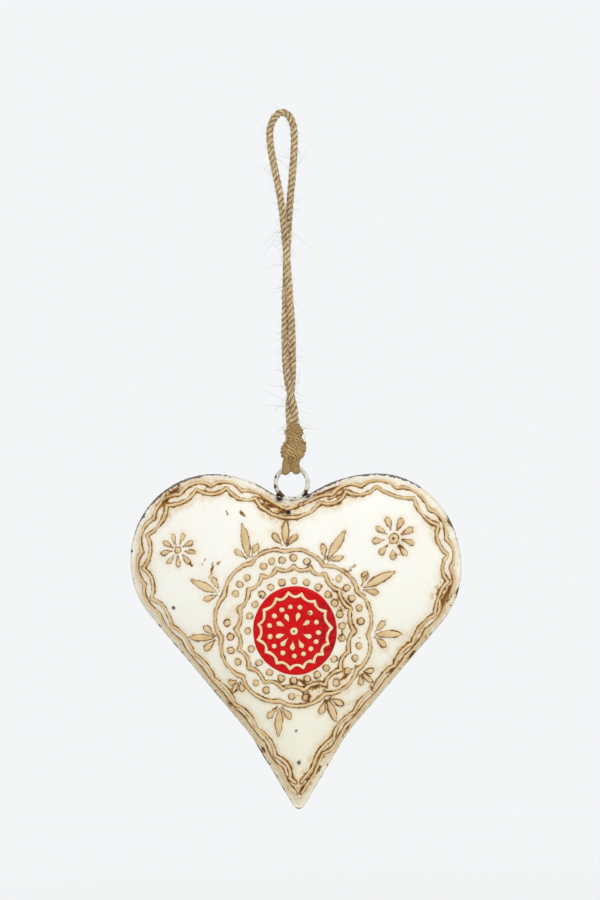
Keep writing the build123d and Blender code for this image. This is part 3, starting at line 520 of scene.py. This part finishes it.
material, tree, shader, coords = finish("solder_and_crevice_shade", 0.6)
marks = placed(tree, mottle, {"Vector": coords, "Patches": 300.0, "Grain": 1200.0})
# Near black: painted shade for the crevices beside the ring's foot, over dark solder.
shade = blended(tree, marks["Patch"], colour(18, 12, 10), colour(44, 30, 22))
shade = blended(tree, times(tree, marks["Fleck"], 0.4), shade, colour(130, 100, 70))
tree.links.new(shade, shader.inputs["Base Color"])
shader.inputs["Specular IOR Level"].default_value = 0.15
raised(tree, shader, marks["Height"], 0.2 * MM)
for hand in ("left", "right"):
    lump = hand_worked(f"ring_solder_{hand}", LUMP_VOXEL, crusted)
    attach(place(f"solder_lump_{hand}", lump, material, "solder", f"ring_solder_{hand}"), "heart")

# Red enamel: an oval of glossy red brushed on the crown of the front. The strokes follow its edge,
# and the red is deeper on the right, where the brush went over it twice.
ENAMEL_CENTRE = Vector((0, 0, -247.3)) * MM
ENAMEL_HALF = Vector((20.0, 0, 21.2)) * MM
ENAMEL_POINTS = 220
ENAMEL_RINGS = 28
ENAMEL_EDGE = 0.985
ENAMEL_UNEVEN = 0.012
INTO_PICTURE = Vector((0, 1, 0))
film = surface_of("red_enamel_disc")
tin_under = surface_of("front_shell")
bm, column = upright_circle(ENAMEL_CENTRE, ENAMEL_POINTS, 1.0)
edge = []
for i, point in enumerate(bm.verts):
    spoke = point.co - ENAMEL_CENTRE
    edge.append(spoke * ENAMEL_HALF * (1 + ENAMEL_UNEVEN * noise.noise(spoke * 3)))
    over = ENAMEL_CENTRE + edge[i] - INTO_PICTURE * CAST_FROM
    point.co = tin_under.ray_cast(over, INTO_PICTURE)[0]
edges = bm.edges[:]
for ring in range(ENAMEL_RINGS):
    points, edges = next_ring(bm, edges, column)
    for i, point in points.items():
        spoke = edge[i] * ENAMEL_EDGE * (1 - ring / ENAMEL_RINGS)
        over = ENAMEL_CENTRE + spoke - INTO_PICTURE * CAST_FROM
        point.co = film.ray_cast(over, INTO_PICTURE)[0] or tin_under.ray_cast(over, INTO_PICTURE)[0]
bmesh.ops.contextual_create(bm, geom=edges)
enamel_mesh = smooth_mesh(bm, "red_enamel")
material, tree, shader, coords = finish("brushed_red", 0.3)
shader.inputs["Specular IOR Level"].default_value = 0.12
marks = placed(tree, mottle, {"Vector": coords, "Patches": 120.0, "Grain": 700.0})
centred = add(tree, "ShaderNodeMapping", {"Vector": coords, "Location": -ENAMEL_CENTRE}).outputs[0]
axes = add(tree, "ShaderNodeSeparateXYZ", {0: centred}).outputs
out_from_middle = add(tree, "ShaderNodeVectorMath", {0: centred}, operation="LENGTH").outputs["Value"]
bearing = sums(tree, "ARCTAN2", axes["Z"], axes["X"])
stroke = add(tree, "ShaderNodeCombineXYZ", {
    "X": times(tree, out_from_middle, 1500.0), "Y": times(tree, bearing, 2.2)}).outputs[0]
bristle = speckle(tree, stroke, 0.9, 4.0, 0.6)
brushed = ramp(tree, bristle, 0.35, 0.65, 0.0, 1.0)
shade = blended(tree, brushed, colour(203, 8, 14), colour(221, 20, 20))
between = ramp(tree, bristle, 0.4, 0.62, 1.0, 0.0)
on_right = times(tree, ramp(tree, axes["X"], 0.006, 0.018, 0.0, 0.75), between)
shade = blended(tree, on_right, shade, colour(140, 4, 18))
worked = times(tree, on_right, ramp(tree, marks["Height"], 0.5, 0.7, 0.0, 0.5))
shade = blended(tree, worked, shade, colour(224, 84, 92))
shade = blended(tree, times(tree, marks["Fleck"], 0.7), shade, colour(90, 20, 14))
tree.links.new(shade, shader.inputs["Base Color"])
tree.links.new(ramp(tree, bristle, 0.3, 0.7, 0.24, 0.42), shader.inputs["Roughness"])
raised(tree, shader, bristle, 0.08 * MM)
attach(place("red_enamel", enamel_mesh, material, "red_enamel", "red_enamel_disc"), "heart")

# Piped paste: borders, medallion rings, dots, petals, flowers and leaf sprigs squeezed from a fine
# nozzle as in henna work. It dries hard and beige, and the brown glaze lies along its foot.
PASTE_VOXEL = 0.21 * MM
SINK = 0.22 * MM
WANDER = 0.28 * MM
WANDER_SEED = 7
SWELL = 0.16 * MM
FOOT = 0.6 * MM
NEAR_TIN = 3 * MM
ON_TIN = ("outer_border_bead", "inner_border_bead", "medallion_outer_ring", "medallion_inner_ring",
          "outer_dots", "inner_dots", "left_flower_petals", "left_flower_boss", "right_flower_petals",
          "right_flower_boss", *(f"leaf_sprig_{i:02d}" for i in range(1, 12)))
ON_RED = ("centre_ring", "centre_dots", "centre_petals", "centre_boss")
# A spilled blob on the inner ring, then burst bubbles, in millimetres: across, up, reach and strength
BLOB = ((-28.5, -237.5, 1.8, 0.7),)
PORES = (
    (48.0, -204.5, 0.6, 1.6), (-0.5, -247.5, 0.5, 1.4), (-16.0, -230.5, 0.6, 1.4),
    (7.0, -239.0, 0.5, 1.4))
under_paste = surface_of("front_shell", "red_enamel_disc")
noise.seed_set(WANDER_SEED)


def piped(on_paste, normal):
    """Wanders as a hand does, swells and pinches, and sits down onto the paint."""
    wander = noise.noise_vector(on_paste * 170) * WANDER
    thicker = SWELL * (0.4 + noise.noise(on_paste * 520)) + spots_at(on_paste, BLOB) * MM
    _, outward, _, gap = under_paste.find_nearest(on_paste, NEAR_TIN)
    sit = outward * -SINK * max(0, 1 - gap / FOOT)
    wander -= outward * wander.dot(outward)
    return wander + normal * thicker + sit


def paste(name, light, dark, line):
    """Beige paste with a brown foot and the odd brown pore."""
    material, tree, shader, coords = finish(name, 0.62)
    shader.inputs["Specular IOR Level"].default_value = 0.2
    marks = placed(tree, mottle, {"Vector": coords, "Patches": 170.0, "Grain": 1500.0})
    shade = blended(tree, marks["Patch"], light, dark)
    lines = placed(tree, glaze, {"Vector": coords, "Gap": kept(tree, "height"), "Width": line})
    shade = blended(tree, times(tree, lines["Line"], 0.85), shade, colour(146, 96, 40))
    scratch = placed(tree, scratches, {"Vector": coords, "Mark": kept(tree, "stain")})["Scratch"]
    shade = blended(tree, ramp(tree, scratch, 0.0, 0.5, 0.0, 0.85), shade, colour(138, 86, 34))
    shade = blended(tree, times(tree, marks["Fleck"], 0.4), shade, colour(110, 70, 36))
    shade = blended(tree, kept(tree, "pore"), shade, colour(70, 40, 20))
    tree.links.new(shade, shader.inputs["Base Color"])
    raised(tree, shader, marks["Height"], 0.12 * MM)
    return material


tin_paste = paste("beige_paste", colour(234, 209, 162), colour(220, 187, 134), 0.3)
red_paste = paste("pale_paste", colour(247, 232, 194), colour(238, 214, 166), 0.2)
glazed_edges = bmesh.new()
for material, nodes in ((tin_paste, ON_TIN), (red_paste, ON_RED)):
    for node in nodes:
        mesh = hand_worked(node, PASTE_VOXEL, piped)
        measure(mesh, "height", [
            (under_paste.find_nearest(p.co, NEAR_TIN)[3] or NEAR_TIN) / MM for p in mesh.vertices])
        measure(mesh, "pore", [min(1, spots_at(p.co, PORES)) for p in mesh.vertices])
        measure(mesh, "stain", [stain_at(p.co) for p in mesh.vertices])
        glazed_edges.from_mesh(mesh)
        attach(place(f"piped_{node}", mesh, material, "piped_paste", node), "heart")
paste_skin = BVHTree.FromBMesh(glazed_edges)
glazed_edges.free()
measure(front_mesh, "paste_gap", [
    (paste_skin.find_nearest(p.co, GAP_LIMIT)[3] or GAP_LIMIT) / MM for p in front_mesh.vertices])

# Jute twine: one length of three-ply jute, doubled into a hanging loop. Its two legs wind round each
# other below the loop and run into the knots over the ring.
PLY_RADIUS = 1.0 * MM
LAY_RADIUS = 0.86 * MM
LAY = 8.4 * MM
PLIES = 3
PLY_SIDES = 3
PLY_UNEVEN = 0.12
HAIR = 0.06 * MM
HAIR_TOP = -0.006
HAIR_STEPS = 5
HAIR_CURL = 1.1
HAIR_LEAN = 2.2
HAIR_REACH = 8 * MM
LOOP_HAIRS = 240
LEG_HAIRS = 70
BARE_END = 20
LOOP_ROUTE = (
    (0.0011, -0.0016, -0.09055), (0.0006, -0.00185, -0.079), (-0.0001, -0.00195, -0.0665),
    (-0.0009, -0.0018, -0.054), (-0.0019, -0.0014, -0.043), (-0.0035, -0.0009, -0.0325),
    (-0.0055, -0.0004, -0.0225), (-0.0070, -0.0001, -0.013), (-0.0068, 0, -0.0046), (-0.0029, 0, 0.0017),
    (0.0017, 0, 0.0017), (0.0047, 0, -0.004), (0.0050, 0.00005, -0.012), (0.0043, 0.0003, -0.0215),
    (0.0032, 0.0008, -0.0315), (0.0020, 0.0013, -0.0425), (0.0010, 0.00175, -0.054),
    (0.0001, 0.00195, -0.0665), (-0.0006, 0.00185, -0.079), (-0.0011, 0.0016, -0.09055))
LEFT_LEG_ROUTE = (
    (0.0011, -0.0016, -0.09015), (0.0016, -0.0012, -0.099), (0.00175, -0.0005, -0.1085),
    (0.0017, 0.0007, -0.1175), (0.0014, 0.0015, -0.126), (0.0005, 0.00205, -0.1335),
    (-0.0006, 0.00165, -0.140), (-0.0004, 0, -0.1461), (-0.0002, -0.0006, -0.1500))
RIGHT_LEG_ROUTE = (
    (-0.0011, 0.0016, -0.09015), (-0.0016, 0.0012, -0.099), (-0.00175, 0.0005, -0.1085),
    (-0.0017, -0.0007, -0.1175), (-0.0012, -0.0015, -0.126), (0.0001, -0.00205, -0.1335),
    (0.0018, -0.00165, -0.140), (0.0024, 0, -0.1461), (0.0022, 0.0006, -0.1500))
SLUB = Vector((-1.2, 1.2, -86.8)) * MM
SLUB_REACH = 2.2 * MM
SLUB_SWELL = 0.4
TUCK_HEIGHT = -0.0898
TUCKED = 0.94


def curve_mesh(name, line, use):
    """Turns a curve into a mesh, uses it and clears the curve away."""
    holder = bpy.data.objects.new(name, line)
    bpy.context.scene.collection.objects.link(holder)
    depsgraph = bpy.context.evaluated_depsgraph_get()
    result = use(bpy.data.meshes.new_from_object(holder.evaluated_get(depsgraph)))
    bpy.data.objects.remove(holder)
    bpy.data.curves.remove(line)
    return result


def new_line(name, thick, sides):
    """An empty curve, bevelled to a thickness."""
    line = bpy.data.curves.new(name, "CURVE")
    line.dimensions = "3D"
    line.bevel_depth = thick
    line.bevel_resolution = sides
    line.resolution_u = 24
    line.use_fill_caps = thick > 0
    return line


def smooth_line(name, route, closed=False):
    """Points read along the smooth line that a route draws."""
    line = new_line(name, 0, 0)
    spline = line.splines.new("NURBS")
    spline.points.add(len(route) - 1)
    for point, on_route in zip(spline.points, route):
        point.co = (*on_route, 1)
    spline.order_u = 3
    spline.use_endpoint_u = not closed
    spline.use_cyclic_u = closed
    return curve_mesh(name, line, lambda mesh: [point.co.copy() for point in mesh.vertices])


def length_of(points):
    """The length of a line of points."""
    return sum((after - before).length for before, after in zip(points, points[1:]))


def plies(name, points, start, ply_radius, lay_radius, lay, swell=lambda at: 1.0):
    """Three plies laid right-handed along a line: their curve, that line and how far out they reach."""
    line = new_line(name, ply_radius, PLY_SIDES)
    for ply in range(PLIES):
        spline = line.splines.new("POLY")
        spline.points.add(len(points) - 1)
        gone = start
        for i, here in enumerate(points):
            before, after = points[max(i - 1, 0)], points[min(i + 1, len(points) - 1)]
            along = (after - before).normalized()
            across = along.cross(Vector((0, 1, 0)))
            across = (across if across.length > 0.2 else along.cross(Vector((1, 0, 0)))).normalized()
            turn = math.tau * (gone / lay + ply / PLIES)
            out = (across * math.cos(turn) + along.cross(across) * math.sin(turn)) * lay_radius
            spline.points[i].co = (*(here + out), 1)
            uneven = noise.noise(here * 300 + Vector((ply, 0, 0)))
            spline.points[i].radius = swell(here) * (1 + PLY_UNEVEN * uneven)
            gone += (after - here).length
    return line, points, ply_radius + lay_radius


def strands(name, lines):
    """One mesh of laid curves, its map drawn to length and how deep each point lies between the plies,
    for painted shade in the grooves.
    """
    joined = bmesh.new()
    groove_shade = []
    uv = joined.loops.layers.uv.new("UVMap")
    for line, points, outer in lines:
        run = length_of(points) / MM
        middles = KDTree(len(points))
        for i, point in enumerate(points):
            middles.insert(point, i)
        middles.balance()
        first = len(joined.faces)
        known = len(joined.verts)
        curve_mesh(name, line, joined.from_mesh)
        joined.verts.ensure_lookup_table()
        joined.faces.ensure_lookup_table()
        groove_shade += [1 - middles.find(point.co)[2] / outer for point in joined.verts[known:]]
        for face in joined.faces[first:]:
            for corner in face.loops:
                corner[uv].uv.x *= run
    mesh = smooth_mesh(joined, name)
    measure(mesh, "groove_shade", groove_shade)
    return mesh


bast, given, out = effect("bast_streaks", ("Vector",), ("Fibre", "Dark"))
fibre = speckle(bast, given["Vector"], 1.0, 4.0, 0.65)
bast.links.new(fibre, out["Fibre"])
bast.links.new(ramp(bast, fibre, 0.46, 0.32, 0.0, 0.8), out["Dark"])


def jute(name, drawn_by, light, middle, dark):
    """Golden bast fibre: streaks along each ply, painted shade between them, dull and hairy."""
    material, tree, shader, coords = finish(name, 0.85)
    shader.inputs["Specular IOR Level"].default_value = 0.15
    marks = placed(tree, mottle, {"Vector": coords, "Patches": 140.0, "Grain": 900.0})
    streaks = placed(tree, bast, {"Vector": drawn_by(tree, coords)})
    shade = blended(tree, ramp(tree, streaks["Fibre"], 0.36, 0.66, 0.0, 1.0), middle, light)
    shade = blended(tree, streaks["Dark"], shade, dark)
    shade = blended(tree, times(tree, marks["Patch"], 0.2), shade, dark)
    shade = blended(tree, times(tree, marks["Fleck"], 0.7), shade, dark)
    # Painted shade: darker where a ply turns in towards the twine's middle, between the plies.
    shade = blended(tree, ramp(tree, kept(tree, "groove_shade"), 0.03, 0.36, 0.0, 0.92), shade, dark)
    tree.links.new(shade, shader.inputs["Base Color"])
    shader.inputs["Sheen Weight"].default_value = 0.08
    raised(tree, shader, streaks["Fibre"], 0.3 * MM)
    return material


def along_ply(tree, coords):
    """Streaks that follow each ply."""
    drawn = add(tree, "ShaderNodeUVMap", uv_map="UVMap").outputs[0]
    return add(tree, "ShaderNodeMapping", {"Vector": drawn, "Scale": (0.7, 11.0, 1.0)}).outputs[0]


def stray_fibres(name, points, count, seed, root, reach):
    """Loose hairs that have worked out of the twine."""
    chance = random.Random(seed)
    line = new_line(name, HAIR, 0)
    for _ in range(count):
        spline = line.splines.new("POLY")
        spline.points.add(HAIR_STEPS)
        start = chance.choice(points)
        turn = chance.uniform(0, math.tau)
        lean = chance.uniform(-HAIR_LEAN, HAIR_LEAN)
        heading = Vector((math.cos(turn), math.sin(turn), lean)).normalized()
        curl = Vector([chance.uniform(-1, 1) for _ in range(3)]) * HAIR_CURL
        length = reach * chance.uniform(0.3, 1.0)**2
        for i, point in enumerate(spline.points):
            share = i / HAIR_STEPS
            strayed = heading * (root + length * share) + curl * length * share**2
            point.co = (*(start + strayed), 1)
            point.radius = 1 - 0.6 * share
    mesh = curve_mesh(name, line, lambda mesh: mesh)
    mesh.shade_smooth()
    return mesh


def slubbed(at):
    """The loop's thickness: a slub above the joint, and ends tucked into the legs."""
    plain = TUCKED if at.z < TUCK_HEIGHT else 1.0
    return plain + SLUB_SWELL * math.exp(-((at - SLUB).length / SLUB_REACH)**2)


golden = jute("golden_jute", along_ply,
              colour(246, 228, 188), colour(182, 147, 95), colour(74, 42, 10))
loose = jute("loose_jute", along_ply,
             colour(190, 162, 116), colour(152, 122, 80), colour(104, 78, 46))
loop_line = smooth_line("loop_line", LOOP_ROUTE)
left_line = smooth_line("left_line", LEFT_LEG_ROUTE)
right_line = smooth_line("right_line", RIGHT_LEG_ROUTE)
leg_length = length_of(left_line)
loop_length = length_of(loop_line)
loop_mesh = strands("twine_loop_plies", [
    plies("loop", loop_line, leg_length, PLY_RADIUS, LAY_RADIUS, LAY, slubbed)])
loop = place("twine_loop_plies", loop_mesh, golden, "jute", "twine_loop")
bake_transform(loop)
hairy = [point for point in loop_line if point.z < HAIR_TOP]
loop_hairs = stray_fibres("loop_hairs", hairy, LOOP_HAIRS, 3, PLY_RADIUS, HAIR_REACH)
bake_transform(place("twine_loop_hairs", loop_hairs, loose, "jute"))
legs = {}
loop_end = leg_length + loop_length
for hand, line, start in (("left", left_line[::-1], 0), ("right", right_line, loop_end)):
    leg_mesh = strands(f"twine_leg_{hand}_plies", [
        plies("leg", line, start, PLY_RADIUS, LAY_RADIUS, LAY)])
    legs[hand] = place(f"twine_leg_{hand}_plies", leg_mesh, golden, "jute", f"twine_leg_{hand}")
    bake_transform(legs[hand])
    hairy = line[BARE_END:-BARE_END]
    leg_hairs = stray_fibres("leg_hairs", hairy, LEG_HAIRS, 5 + len(hand), PLY_RADIUS, HAIR_REACH)
    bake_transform(place(f"twine_leg_{hand}_hairs", leg_hairs, loose, "jute"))

# Knots: the doubled twine is tied in a small stop knot and, under it, in a larger overhand knot whose
# wraps run down to the right. Both are drawn tight and matted with fibre.
KNOT_PLY = 0.56 * MM
KNOT_LAY_RADIUS = 0.3 * MM
KNOT_LAY = 9 * MM
WRAP_POINTS = 10
WRAP_SPACING = 1.35
WRAP_OUT = 1.05
WRAP_LEAN = 0.35
LEAST_END = 0.06
CORE_UNEVEN = 0.08
BURIED = 1.04
# Each knot's middle, then its lobes, in millimetres: across, up, slope, half length and half width
KNOTS = {
    "small_knot": (Vector((1.6, 0, -151.6)) * MM, (
        (-1.2, 0, -0.55, 4.0, 2.2), (1.2, 0, 0.55, 4.0, 2.2))),
    "main_knot": (Vector((1.2, 0, -161.0)) * MM, (
        (0, 0, -0.7, 6.4, 5.2), (0.4, 5.8, -0.4, 2.6, 3.4))),
}


def wrap_line(middle, aside, radius):
    """A closed wrap round a lobe of a knot."""
    ring = []
    for i in range(WRAP_POINTS):
        turn = math.tau * i / WRAP_POINTS
        spoke = aside * math.cos(turn) + Vector((0, math.sin(turn), 0))
        ring.append(middle + spoke * radius * WRAP_OUT)
    points = smooth_line("wrap", ring, closed=True)
    return points + points[:2]


def lobe_wraps(centre, across, up, slope, half_length, half_width):
    """Wraps laid flush along a lobe, each at its own slight angle."""
    middle = centre + Vector((across, 0, up)) * MM
    lines = []
    count = math.floor(half_length / WRAP_SPACING)
    for step in range(-count, count + 1):
        offset = step * WRAP_SPACING
        lean = WRAP_LEAN * noise.noise(Vector((offset, across, 0.5)))
        aside = Vector((1, 0, slope + lean)).normalized()
        axis = Vector((-slope, 0, 1)).normalized()
        radius = half_width * math.sqrt(max(1 - (offset / half_length)**2, LEAST_END))
        line = wrap_line(middle + axis * offset * MM, aside, radius * MM)
        lines.append(plies("wrap", line, offset * MM, KNOT_PLY, KNOT_LAY_RADIUS, KNOT_LAY))
    return lines


def lobe_core(bm, centre, across, up, slope, half_length, half_width):
    """The middle of a lobe, just under its wraps: fibre in a darker jute, painted shade that shows in
    the gaps between the wraps.
    """
    turn = Matrix.Rotation(-math.atan(slope), 3, "Y")
    middle = centre + Vector((across, 0, up)) * MM
    ball = bmesh.ops.create_icosphere(bm, subdivisions=5, radius=1.0)["verts"]
    for point in ball:
        round_out = point.co * Vector((half_width, half_width, half_length)) * BURIED * MM
        uneven = 1 + CORE_UNEVEN * noise.noise(point.co * 3)
        point.co = middle + turn @ round_out * uneven


def down_knot(tree, coords):
    """Streaks that run down to the right over a matted core."""
    return add(tree, "ShaderNodeMapping", {
        "Vector": coords, "Rotation": (0, math.radians(-36), 0),
        "Scale": (260.0, 900.0, 1900.0)}).outputs[0]


matted = jute("matted_jute", along_ply,
              colour(228, 198, 144), colour(178, 138, 78), colour(62, 30, 4))
# The cores are the knot's inner fibre, coloured darker as painted shade for the gaps between the wraps.
core_shade_jute = jute("knot_core_jute_painted_shade", down_knot,
              colour(196, 160, 100), colour(152, 112, 58), colour(72, 42, 10))
knots = {}
for node, (centre, lobes) in KNOTS.items():
    lines = [line for lobe in lobes for line in lobe_wraps(centre, *lobe)]
    knots[node] = place(f"{node}_wraps", strands(f"{node}_wraps", lines), matted, "jute", node)
    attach(knots[node], "knot")
    bm = bmesh.new()
    for lobe in lobes:
        lobe_core(bm, centre, *lobe)
    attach(place(f"{node}_core", smooth_mesh(bm, f"{node}_core"), core_shade_jute, "jute"), "knot")

# Hitch: two rounded lobes of twine side by side, passed round the top of the ring and up into the
# knot. Their plies lie nearly straight, and the ring is free to turn in them.
HITCH_ASIDE = 2.15
HITCH_MIDDLE = -0.3
HITCH_PLY = 0.34 * MM
HITCH_LAY_RADIUS = 0.2 * MM
HITCH_LAY = 15 * MM
HITCH_TOP = -162.5 * MM
HITCH_SHOULDER = -166.5 * MM
HITCH_DRAWN_IN = 0.7
KNOT_HAIRS = 170
KNOT_HAIR_REACH = 5 * MM
HAIR_RING = 4.0
# The plies of a lobe, in millimetres: how far aside and how far round the wire each one bends
LOBE_PLIES = ((-1.6, 1.9), (-0.85, 2.6), (0, 2.9), (0.85, 2.6), (1.6, 1.9))
for hand, side in (("left", -1), ("right", 1)):
    lines = []
    for aside, bend in LOBE_PLIES:
        x = (side * HITCH_ASIDE + HITCH_MIDDLE + aside) * MM
        bend *= MM
        wire = RING_CENTRE.z + math.sqrt(RING_RADIUS**2 - x**2)
        in_knot = x * HITCH_DRAWN_IN + MM
        front = [(in_knot, -bend * 0.9, HITCH_TOP), (x, -bend * 1.05, HITCH_SHOULDER), (x, -bend, wire),
                 (x, -bend, wire - bend * 0.75), (x, -bend * 0.5, wire - bend)]
        route = front + [(across, -depth, up) for across, depth, up in front[::-1]]
        bent = smooth_line("hitch", route)
        lines.append(plies("hitch", bent, aside * MM, HITCH_PLY, HITCH_LAY_RADIUS, HITCH_LAY))
    mesh = strands(f"hitch_{hand}_lobe", lines)
    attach(place(f"hitch_{hand}_lobe", mesh, matted, "jute", f"hitch_{hand}"), "knot")
knot_points = [
    Vector((1 + HAIR_RING * math.cos(turn), HAIR_RING * math.sin(turn), -150 - 3 * row)) * MM
    for turn in range(7) for row in range(7)]
knot_hairs = stray_fibres("knot_hairs", knot_points, KNOT_HAIRS, 21, PLY_RADIUS, KNOT_HAIR_REACH)
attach(place("knot_hairs", knot_hairs, loose, "jute"), "knot")

# Studio: a pale floor and backdrop far behind the hanging object, soft light from all round and from
# above on the right, and the camera square on to the front, a little rolled as the picture is.
PALE = colour(243, 245, 247)
FLOOR_HEIGHT = -0.5
FLOOR_SIZE = 6.0
AMBIENT = 0.71
AIM = Vector((0, 0, -0.2))
# Each lamp's name, place, size and power
LAMPS = (("key", (0.2, -1.4, 1.1), 0.9, 9.5), ("fill", (1.3, -1.2, 0.1), 1.2, 2.0))
DISTANCE = 1.6
VIEWPOINT = (0.0043, -DISTANCE, -0.1612)
ROLL = math.radians(-1.27)
SENSOR = 36
SEEN_HEIGHT = 0.4338


def seen_rays(tree):
    """Rays that show the studio to the viewer, straight or in a gloss."""
    path = add(tree, "ShaderNodeLightPath").outputs
    straight = sums(tree, "MAXIMUM", path["Is Camera Ray"], path["Is Glossy Ray"])
    return sums(tree, "MAXIMUM", straight, path["Is Transmission Ray"])


bm = bmesh.new()
on_floor = Matrix.Translation((0, 0, FLOOR_HEIGHT))
bmesh.ops.create_grid(bm, x_segments=2, y_segments=2, size=FLOOR_SIZE, matrix=on_floor)
floor_mesh = smooth_mesh(bm, "floor")
material, tree, shader, coords = finish("pale_floor", 0.9)
shader.inputs["Base Color"].default_value = colour(240, 242, 244)
under_foot = add(tree, "ShaderNodeVectorMath", {0: coords, 1: (0, 0, FLOOR_HEIGHT)},
                 operation="DISTANCE").outputs["Value"]
glow = add(tree, "ShaderNodeEmission", {"Color": PALE})
veil = add(tree, "ShaderNodeMixShader", {
    0: times(tree, seen_rays(tree), ramp(tree, under_foot, 0.2, 1.5, 0.75, 1.0)),
    1: shader.outputs[0], 2: glow.outputs[0]})
tree.links.new(veil.outputs[0], tree.nodes["Material Output"].inputs["Surface"])
floor = bpy.data.objects.new("floor", floor_mesh)
floor_mesh.materials.append(material)
bpy.context.scene.collection.objects.link(floor)

world = bpy.data.worlds.new("studio")
bpy.context.scene.world = world
world.use_nodes = True
tree = world.node_tree
ambient = tree.nodes["Background"]
ambient.inputs["Color"].default_value = (1, 1, 1, 1)
ambient.inputs["Strength"].default_value = AMBIENT
backdrop = add(tree, "ShaderNodeBackground", {"Color": PALE})
view_mix = add(tree, "ShaderNodeMixShader", {
    0: seen_rays(tree), 1: ambient.outputs[0], 2: backdrop.outputs[0]})
tree.links.new(view_mix.outputs[0], tree.nodes["World Output"].inputs["Surface"])

for name, where, size, power in LAMPS:
    lamp = bpy.data.lights.new(name, "AREA")
    lamp.size = size
    lamp.energy = power
    lit = bpy.data.objects.new(name, lamp)
    lit.location = where
    lit.rotation_mode = "QUATERNION"
    lit.rotation_quaternion = (AIM - Vector(where)).to_track_quat("-Z", "Y")
    bpy.context.scene.collection.objects.link(lit)

camera = bpy.data.cameras.new("camera")
camera.sensor_width = SENSOR
camera.lens = SENSOR * DISTANCE / SEEN_HEIGHT
viewer = bpy.data.objects.new("camera", camera)
square_on = Matrix.Translation(VIEWPOINT) @ Matrix.Rotation(math.pi / 2, 4, "X")
viewer.matrix_world = square_on @ Matrix.Rotation(ROLL, 4, "Z")
bpy.context.scene.collection.objects.link(viewer)
bpy.context.scene.camera = viewer
bpy.context.scene.view_settings.view_transform = "Standard"
